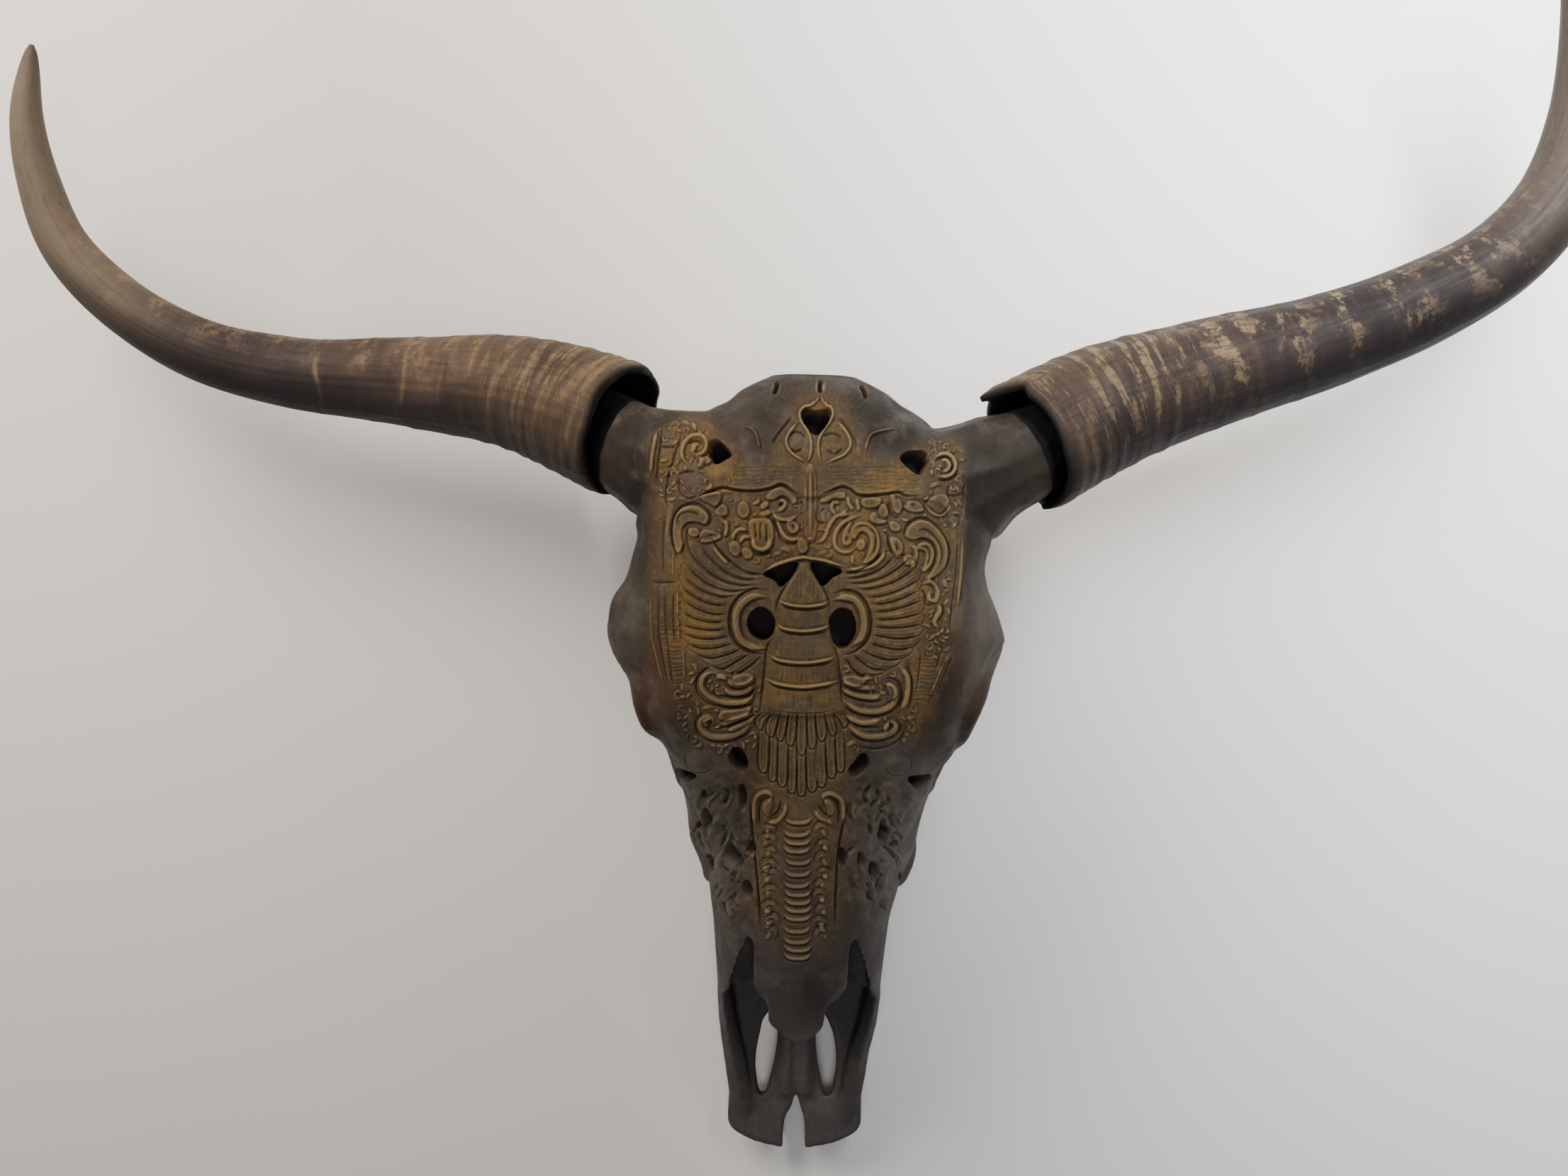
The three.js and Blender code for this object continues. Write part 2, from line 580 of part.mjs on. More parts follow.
// The line down the middle of a horn, with places on it by depth from the mouth.
function hornLine({ line }) {
  const curve = new THREE.CatmullRomCurve3(line.map(([x, s, z]) => at(x, s, z)));
  curve.arcLengthDivisions = 400;
  const length = curve.getLength();
  const tangent = (depth) => curve.getTangentAt(THREE.MathUtils.clamp(depth / length, 0, 1));
  const point = (depth) => {
    const before = Math.min(depth, 0);
    return curve.getPointAt(Math.max(depth, 0) / length).addScaledVector(tangent(0), before);
  };
  return { length, point, tangent };
}

// The sheath's radius from mouth to tip, with growth rings that fade away from the mouth.
function hornRadius({ slender, tipPower }, u, length) {
  const taper = slender * (1 - u) ** tipPower;
  const flare = (1 - slender) * Math.exp(-((u / HORN.flare) ** 2));
  const fade = Math.max(0, 1 - u / GROWTH.until);
  const wave = Math.cos((2 * Math.PI * u * length) / GROWTH.pitch);
  return Math.max(HORN.tip, HORN.base * (taper + flare) * (1 + GROWTH.height * fade * wave));
}

function hornCore(horn, side, room = 0) {
  const { point, tangent } = hornLine(horn);
  const { root, shoulder, inside } = CORE;
  const ends = inside.map(({ depth }) => point(depth));
  ends[ends.length - 1].addScaledVector(tangent(inside[inside.length - 1].depth), room);
  const points = [
    at(side * root.x, root.s + horn.coreDrop, root.z),
    at(side * shoulder.x, shoulder.s + horn.coreDrop, shoulder.z),
    at(...horn.coreNeck),
    ...ends,
  ];
  const radii = [root.r, shoulder.r, CORE.neckRadius, ...inside.map(({ r }) => r)];
  return tube(points, radii.map((r) => r + room), { steps: CORE.steps, sides: CORE.sides });
}

function hornSheath(horn, side) {
  const { length, point, tangent } = hornLine(horn);
  const rings = Array.from({ length: HORN.steps + 1 }, (_, i) => {
    const u = (i / HORN.steps) ** HORN.crowd;
    return circle(point(u * length), tangent(u * length), hornRadius(horn, u, length), HORN.sides);
  });
  const mouth = Array.from({ length: SOCKET.steps + 1 }, (_, i) => {
    const depth = THREE.MathUtils.lerp(-SOCKET.outside, SOCKET.depth, i / SOCKET.steps);
    const inward = Math.max(0, depth / SOCKET.depth);
    const radius = THREE.MathUtils.lerp(HORN.base - SOCKET.wall, SOCKET.endRadius, inward);
    return circle(point(depth), tangent(Math.max(depth, 0)), radius, HORN.sides);
  });
  return loft(rings).subtract(loft(mouth)).subtract(hornCore(horn, side, GAP));
}

// The whole skull before it is parted into its bones.
function wholeSkull() {
  const added = [loft(smoothRings(SECTIONS.map(skullRing))), ellipsoid(NUCHAL), ellipsoid(NECK_BASE)];
  const holes = PITS.map((place) => pit(place, roofAt(place.s), PIT.depth, PIT.sides));
  const cuts = [nasalBones(GAP, FAR / 10), noseHollow(), ellipsoid({ x: 0, ...FORAMEN }), ...holes];
  const teeth = [];
  for (const [name, side] of Object.entries(SIDES)) {
    const { rim, cup } = orbit(side);
    added.push(
      rim,
      ellipsoid(ORBIT_WALL, side),
      ellipsoid(CHEEK, side),
      ellipsoid(FACE_BUMP, side),
      ellipsoid(CONDYLE, side),
      ellipsoid(BULLA, side),
      sideTube(ARCH, side, { steps: 8, sides: 10 }),
      sideTube(JUGULAR, side, { steps: 5, sides: 10, up: FORWARD, flat: JUGULAR_FLAT }),
      sideTube(PTERYGOID, side, { steps: 5, sides: 10, flat: PTERYGOID_FLAT }),
      hornCore(HORNS[name], side),
    );
    cuts.push(cup, noseNotch(side));
    teeth.push(toothRow(side));
  }
  const floor = box(2 * FAR, 2 * FAR, FAR, at(0, 0, -FAR / 2));
  const plain = joined(added);
  const skin = skinOf(plain);
  cuts.push(...FRETS.map((place) => pit(place, skin(place.x, place.s), FRET_DEPTH, PIT.fretSides)));
  const carved = cuts.reduce((rest, cut) => rest.subtract(cut), joined([plain, ...relief(skin)]));
  return joined([carved, ...teeth]).subtract(floor);
}

// A block that fills everything on one side of the sloping joint: 1 toward the poll, -1 the nose.
function sutureBlock(way) {
  const turn = Math.atan2(SUTURE.topS - SUTURE.bottomS, SUTURE.topZ - SUTURE.bottomZ);
  const away = new THREE.Vector3(0, Math.cos(turn), Math.sin(turn)).multiplyScalar(way * (FAR + GAP / 2));
  return box(2 * FAR, 2 * FAR, 2 * FAR, at(0, SUTURE.topS, SUTURE.topZ).add(away), turn);
}

const halfBlock = (side) => box(2 * FAR, 4 * FAR, 4 * FAR, at(side * (FAR + GAP / 2), 0, 0));

function bodies() {
  const skull = wholeSkull();
  const jaws = skull.intersect(sutureBlock(-1));
  const nodes = {
    cranium: [skull.intersect(sutureBlock(1)), FINISH.cranium],
    nasal_bones: [carvedNasals(), FINISH.nasal_bones],
  };
  for (const [name, side] of Object.entries(SIDES)) {
    nodes[`maxilla_${name}`] = [jaws.intersect(halfBlock(side)), FINISH.maxilla];
    nodes[`premaxilla_${name}`] = [premaxilla(side).intersect(halfBlock(side)), FINISH.premaxilla];
    nodes[`horn_${name}`] = [hornSheath(HORNS[name], side), FINISH.horn];
  }
  return nodes;
}

const leaning = (spot) => {
  spot[0] += LEAN.most * THREE.MathUtils.smoothstep(-spot[1], LEAN.start, LEAN.full);
};

function meshOf(name, body, { color, roughness }) {
  const geometry = geometryOf(largest(body).simplify(SLIVER).warp(leaning));
  geometry.computeVertexNormals();
  const mesh = new THREE.Mesh(geometry, new THREE.MeshStandardMaterial({ color, roughness, metalness: 0 }));
  mesh.name = name;
  return mesh;
}

const carvedSkull = new THREE.Group();
carvedSkull.name = 'carved_bull_skull';
for (const [name, [body, finish]] of Object.entries(bodies())) {
  carvedSkull.add(meshOf(name, body, finish));
}

// The origin sits under the middle of the object, on the floor.
const extent = new THREE.Box3().setFromObject(carvedSkull);
const centre = extent.getCenter(new THREE.Vector3());
carvedSkull.position.set(-centre.x, -centre.y, -extent.min.z);

export default carvedSkull;
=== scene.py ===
import math

import bmesh
import bpy
import numpy as np
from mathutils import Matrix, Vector
from mathutils.bvhtree import BVHTree


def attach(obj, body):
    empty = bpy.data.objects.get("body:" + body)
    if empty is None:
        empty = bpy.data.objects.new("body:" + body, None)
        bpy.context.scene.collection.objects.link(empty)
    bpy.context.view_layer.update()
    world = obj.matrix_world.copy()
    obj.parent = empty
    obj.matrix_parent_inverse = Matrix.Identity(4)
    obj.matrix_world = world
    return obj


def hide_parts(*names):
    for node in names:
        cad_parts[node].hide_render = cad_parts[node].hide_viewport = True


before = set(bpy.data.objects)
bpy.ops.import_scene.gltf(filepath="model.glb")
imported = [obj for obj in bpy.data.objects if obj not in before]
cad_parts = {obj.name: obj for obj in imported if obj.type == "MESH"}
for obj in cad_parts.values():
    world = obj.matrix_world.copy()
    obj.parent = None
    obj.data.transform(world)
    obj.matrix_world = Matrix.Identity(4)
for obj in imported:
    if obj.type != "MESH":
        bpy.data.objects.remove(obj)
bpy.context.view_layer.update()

SEED = 7
MM = 0.001

# The camera looks straight down on the skull, in metres.
CAMERA = {"at": (0.00365, -0.00655, 0.880), "roll": 0.02641, "lens": 28.0, "sensor": 36.0}

# The carving is drawn in millimetres on a flat sheet that the camera sees at this distance.
# Its zero point lies this far from the middle of the view, x runs right and y down.
SHEET = {"distance": 688.2, "right": 17.6, "up": 91.8}
CANVAS = {"x": (-104.0, 100.0), "y": (-38.0, 316.0), "step": 0.25}

# Half-width of the carved face along the sheet, about its middle line.
FACE_MIDDLE = -6.0
FACE_ROWS = (-32.0, -14.0, 0.0, 6.0, 160.0, 186.0, 215.0, 290.0, 312.0)
FACE_HALVES = (30.0, 58.0, 80.0, 93.0, 92.0, 84.0, 72.0, 58.0, 50.0)

BONES = ("cranium", "nasal_bones", "maxilla_right", "maxilla_left", "premaxilla_right", "premaxilla_left")

# Size of the even faces in metres, rounds of smoothing, cuts of each carved face, and the least tilt and
# height of the bone that is carved.
VOXEL = 0.0018
SMOOTHING = {"rounds": 40, "carved_rounds": 8, "shrink": 0.5, "grow": -0.52}
FACE_CUTS = 2
FACE_TILT = 0.12
FACE_FLOOR = ((150.0, 320.0), (0.105, 0.05))

# The carved face of the cranium is cut into these bands down the sheet.
CARVED_BANDS = {"carved_forehead": (-100.0, 76.0), "carved_wings": (76.0, 156.0),
                "carved_tail": (156.0, 400.0)}

# The solids' own carving, which is levelled before the finer relief is cut: places of their openings in
# metres across and along the skull, how far round each and down to what height, and rounds of levelling.
OPENINGS = [
    {"reach": 0.0155, "floor": 0.128, "rounds": 500,
     "places": ((0.0188, 0.0890), (-0.0377, 0.0700), (0.0783, 0.0680), (0.0043, 0.0020), (0.0283, 0.0030),
                (-0.0087, -0.0280), (0.0383, -0.0270), (-0.0217, -0.1090), (0.0523, -0.1110))},
    {"reach": 0.0110, "floor": 0.100, "rounds": 260,
     "places": ((-0.0387, -0.1470), (-0.0237, -0.1680), (-0.0157, -0.1900), (0.0633, -0.1560),
                (0.0563, -0.1790))},
]
LEVELLING = {"rounds": 70, "margin": 3.0, "tilt": 0.35}

# How the carving fades at the sides and the lower end of the face in millimetres, and on steep bone.
FACE_FADE = {"sides": 4.0, "end": 4.0, "end_long": 6.0, "tilt": 0.2, "hole_gain": 4.0, "red_gain": 3.0}

# Where the bone turns grey: down the sheet in millimetres, and low above the floor in metres.
GREY_NOSE = {"from": 258.0, "long": 50.0, "below": 0.085, "deep": 0.05}

# Distance at which corners are joined in metres, and a guard against division by nothing.
WELD = 1e-6
TINY = 1e-12


def sheet_size():
    """Samples across and down the sheet."""
    return tuple(int((CANVAS[way][1] - CANVAS[way][0]) / CANVAS["step"]) + 1 for way in ("x", "y"))


def sheet_canvas():
    """An empty layer of the sheet."""
    return np.zeros(sheet_size()[::-1])


def on_sheet(points):
    """Where the camera sees points on the sheet."""
    side = points[:, 0] - CAMERA["at"][0]
    ahead = points[:, 1] - CAMERA["at"][1]
    depth = CAMERA["at"][2] - points[:, 2]
    turn, lean = math.cos(CAMERA["roll"]), math.sin(CAMERA["roll"])
    across = (turn * side + lean * ahead) / depth
    down = (lean * side - turn * ahead) / depth
    return SHEET["distance"] * across - SHEET["right"], SHEET["distance"] * down + SHEET["up"]


def read_layer(layer, x, y):
    """A layer's value at sheet points, between its samples."""
    col = np.clip((x - CANVAS["x"][0]) / CANVAS["step"], 0, layer.shape[1] - 1.001)
    row = np.clip((y - CANVAS["y"][0]) / CANVAS["step"], 0, layer.shape[0] - 1.001)
    c, r = col.astype(int), row.astype(int)
    u, v = col - c, row - r
    upper = layer[r, c] * (1 - u) + layer[r, c + 1] * u
    lower = layer[r + 1, c] * (1 - u) + layer[r + 1, c + 1] * u
    return upper * (1 - v) + lower * v


def blurred(layer, reach):
    """The layer averaged three times over a square this many millimetres to each side."""
    n = max(1, int(reach / CANVAS["step"]))
    for _ in range(3):
        for axis in (0, 1):
            padded = np.concatenate([np.repeat(np.take(layer, [0], axis), n + 1, axis), layer,
                                     np.repeat(np.take(layer, [-1], axis), n, axis)], axis)
            total = np.cumsum(padded, axis)
            size = layer.shape[axis]
            upper = np.take(total, np.arange(size) + 2 * n + 1, axis)
            layer = (upper - np.take(total, np.arange(size), axis)) / (2 * n + 1)
    return layer


def flowing(points, spacing=0.35, closed=False):
    """A smooth line through the points."""
    p = np.array(points, float)
    padded = np.vstack([2 * p[0] - p[1], p, 2 * p[-1] - p[-2]])
    if closed:
        padded = np.vstack([p[-1:], p, p[:2]])
    runs = []
    for a, b, c, d in zip(padded, padded[1:], padded[2:], padded[3:]):
        count = max(2, int(np.linalg.norm(c - b) / spacing))
        t = np.linspace(0, 1, count, endpoint=False)[:, None]
        runs.append(0.5 * (2 * b + (c - a) * t + (2 * a - 5 * b + 4 * c - d) * t ** 2
                           + (3 * b - a - 3 * c + d) * t ** 3))
    if not closed:
        runs.append(p[-1:])
    return np.vstack(runs)


def stamp(layer, place, half, high, flat=1.0):
    """One round touch of a stroke, flatter on top where flat is more than 1."""
    step = CANVAS["step"]
    col, row = (place[0] - CANVAS["x"][0]) / step, (place[1] - CANVAS["y"][0]) / step
    reach = half / step
    c0, c1 = max(0, int(col - reach)), min(layer.shape[1], int(col + reach) + 2)
    r0, r1 = max(0, int(row - reach)), min(layer.shape[0], int(row + reach) + 2)
    if c0 >= c1 or r0 >= r1:
        return
    dx = (np.arange(c0, c1) - col) / reach
    dy = (np.arange(r0, r1) - row) / reach
    t = np.clip(flat * (1 - np.sqrt(dx[None, :] ** 2 + dy[:, None] ** 2)), 0, 1)
    part = layer[r0:r1, c0:c1]
    np.maximum(part, high * t * t * (3 - 2 * t), out=part)


def stroke(layer, points, half, high, taper=0.16, thin=0.35, flat=1.0):
    """A rounded line of this half-width and height, thinner at its ends."""
    line = flowing(points)
    along = np.linspace(0, 1, len(line))
    swell = thin + (1 - thin) * np.clip(np.minimum(along, 1 - along) / taper, 0, 1)
    for place, size in zip(line, swell):
        stamp(layer, place, half * size, high * size, flat)


def leaf(swell, groove, points, half, high):
    """A leaf along a line, widest in its first half and pointed at the tip, with a vein down it."""
    line = flowing(points)
    along = np.linspace(0, 1, len(line))
    width = np.sin(np.pi * (LEAF["start"] + LEAF["span"] * along) ** LEAF["skew"])
    for place, size in zip(line, width):
        lift = LEAF["edge"] + (1 - LEAF["edge"]) * size
        stamp(swell, place, max(LEAF["least"], half * size), high * lift, LEAF["flat"])
    stroke(groove, points[1:], LEAF["vein"][0], LEAF["vein"][1] * high)


def dome(layer, centre, half, high):
    """A round or oval swelling."""
    wide, tall = half if isinstance(half, tuple) else (half, half)
    step = CANVAS["step"]
    x = CANVAS["x"][0] + step * np.arange(layer.shape[1])
    y = CANVAS["y"][0] + step * np.arange(layer.shape[0])
    cols = np.nonzero(abs(x - centre[0]) < wide)[0]
    rows = np.nonzero(abs(y - centre[1]) < tall)[0]
    part = layer[rows[0]:rows[-1] + 1, cols[0]:cols[-1] + 1]
    far = ((x[cols] - centre[0]) / wide)[None, :] ** 2 + ((y[rows] - centre[1]) / tall)[:, None] ** 2
    np.maximum(part, high * np.clip(1 - far, 0, 1) ** DOME_POWER, out=part)


def outline_mask(points, edge, rounded=True):
    """1 inside an outline and 0 outside, with a soft edge, and the part of the sheet that it covers."""
    p = np.array(points, float)
    if rounded:
        p = flowing(p, OUTLINE_SPACING, closed=True)
    step = CANVAS["step"]
    left, top = CANVAS["x"][0], CANVAS["y"][0]
    wide, tall = sheet_size()
    low, high = p.min(0) - 2 * edge - step, p.max(0) + 2 * edge + step
    c0, c1 = max(0, int((low[0] - left) / step)), min(wide, int((high[0] - left) / step) + 2)
    r0, r1 = max(0, int((low[1] - top) / step)), min(tall, int((high[1] - top) / step) + 2)
    flips = np.zeros((r1 - r0, c1 - c0 + 1), int)
    for a, b in zip(p, np.roll(p, -1, 0)):
        upper, lower = (a, b) if a[1] < b[1] else (b, a)
        first = max(r0, math.ceil((upper[1] - top) / step))
        last = min(r1, math.ceil((lower[1] - top) / step))
        rows = np.arange(first, last)
        share = (top + step * rows - upper[1]) / max(lower[1] - upper[1], TINY)
        cols = np.ceil((upper[0] + (lower[0] - upper[0]) * share - left) / step).astype(int)
        flips[rows - r0, np.clip(cols - c0, 0, c1 - c0)] += 1
    inside = (np.cumsum(flips, 1)[:, :-1] % 2).astype(float)
    return (slice(r0, r1), slice(c0, c1)), blurred(inside, edge / 2)


def raise_area(layer, points, high, edge=0.8, full=1.0):
    """Lifts everything inside an outline, and more of its edge where full is above 1."""
    window, mask = outline_mask(points, edge)
    part = layer[window]
    np.maximum(part, high * np.clip(full * mask, 0, 1), out=part)


def arc(centre, radius, start, end, grow=0.0, count=14):
    """Points on an arc or spiral, with angles in degrees from the right, turning down the sheet."""
    angles = np.radians(np.linspace(start, end, count))
    radii = np.linspace(radius, radius + grow, count)
    return [(centre[0] + r * math.cos(a), centre[1] + r * math.sin(a)) for a, r in zip(angles, radii)]


# Sizes of the carver's cuts in millimetres: half-width and height of lines, and how flat a ridge is on top.
# Flat leaves have a height, a soft edge and a fullness.
RIDGE = (1.9, 1.15)
RIDGE_TOP = 1.5
GROOVE = (0.9, 1.3)
FINE = (0.55, 0.45)
PLATE = (1.25, 1.3, 1.9)
LEAF = {"start": 0.1, "span": 0.86, "skew": 0.7, "least": 0.4, "edge": 0.45, "flat": 1.7,
        "vein": (0.5, 0.4)}
BUD = {"bend": 0.45, "half": 0.75}
DOME_POWER = 0.8
OUTLINE_SPACING = 0.8

# Outlines of the open holes, their depth and the softness of their edges, in millimetres.
HOLES = {
    "heart": [(-6.9, -6.8), (-5.2, -8.6), (-2.2, -8.4), (0.7, -7.4), (3.6, -8.4), (6.4, -8.6), (8.0, -6.8),
              (7.0, -2.2), (4.2, 2.2), (0.8, 4.8), (-2.8, 2.2), (-5.8, -2.2)],
    "left_temple": [(-59.2, 9.6), (-56.0, 8.6), (-52.4, 11.2), (-47.9, 16.5), (-51.0, 18.8), (-56.2, 21.0),
                    (-59.6, 16.0)],
    "right_temple": [(48.8, 18.2), (51.7, 15.6), (56.4, 15.0), (61.4, 15.4), (64.4, 18.8), (62.3, 23.1),
                     (59.6, 27.2), (55.0, 25.0), (51.0, 21.6)],
    "left_brow": [(-28.4, 83.6), (-19.6, 80.2), (-10.4, 78.2), (-14.2, 84.8), (-19.2, 90.4), (-22.0, 87.2)],
    "right_brow": [(-1.8, 78.2), (6.5, 79.6), (14.4, 82.4), (9.2, 85.6), (4.2, 90.0), (1.0, 84.4)],
    "left_eye": [(-30.6, 103.4), (-25.2, 107.0), (-23.4, 112.6), (-25.4, 118.6), (-30.0, 121.0),
                 (-35.4, 117.4), (-37.6, 111.6), (-35.6, 106.0)],
    "right_eye": [(13.6, 104.2), (19.4, 105.6), (22.2, 111.6), (21.8, 119.0), (18.0, 125.2), (12.8, 124.6),
                  (9.6, 117.6), (9.0, 109.0)],
    "left_cheek": [(-44.8, 182.2), (-41.0, 184.6), (-38.6, 191.0), (-39.8, 195.0), (-43.2, 194.6),
                   (-47.8, 189.4), (-47.8, 184.8)],
    "right_cheek": [(26.8, 185.8), (29.6, 188.6), (29.4, 192.6), (25.6, 196.4), (22.0, 198.2),
                    (19.4, 194.8), (22.4, 190.6)],
    "left_edge": [(-78.2, 194.6), (-72.0, 196.0), (-67.8, 198.4), (-73.4, 201.0)],
    "right_edge": [(53.0, 199.6), (58.0, 198.4), (64.8, 198.2), (62.6, 202.2), (57.6, 205.0)],
}
HOLE_DEPTH = 15.0
HOLE_EDGE = 0.45

# The narrow sunken rim beside raised work, and the reach in which hollows gather dirt.
BESIDE = {"depth": 0.75, "reach": 0.5, "gain": 2.4}
CAVITY_REACH = 1.7

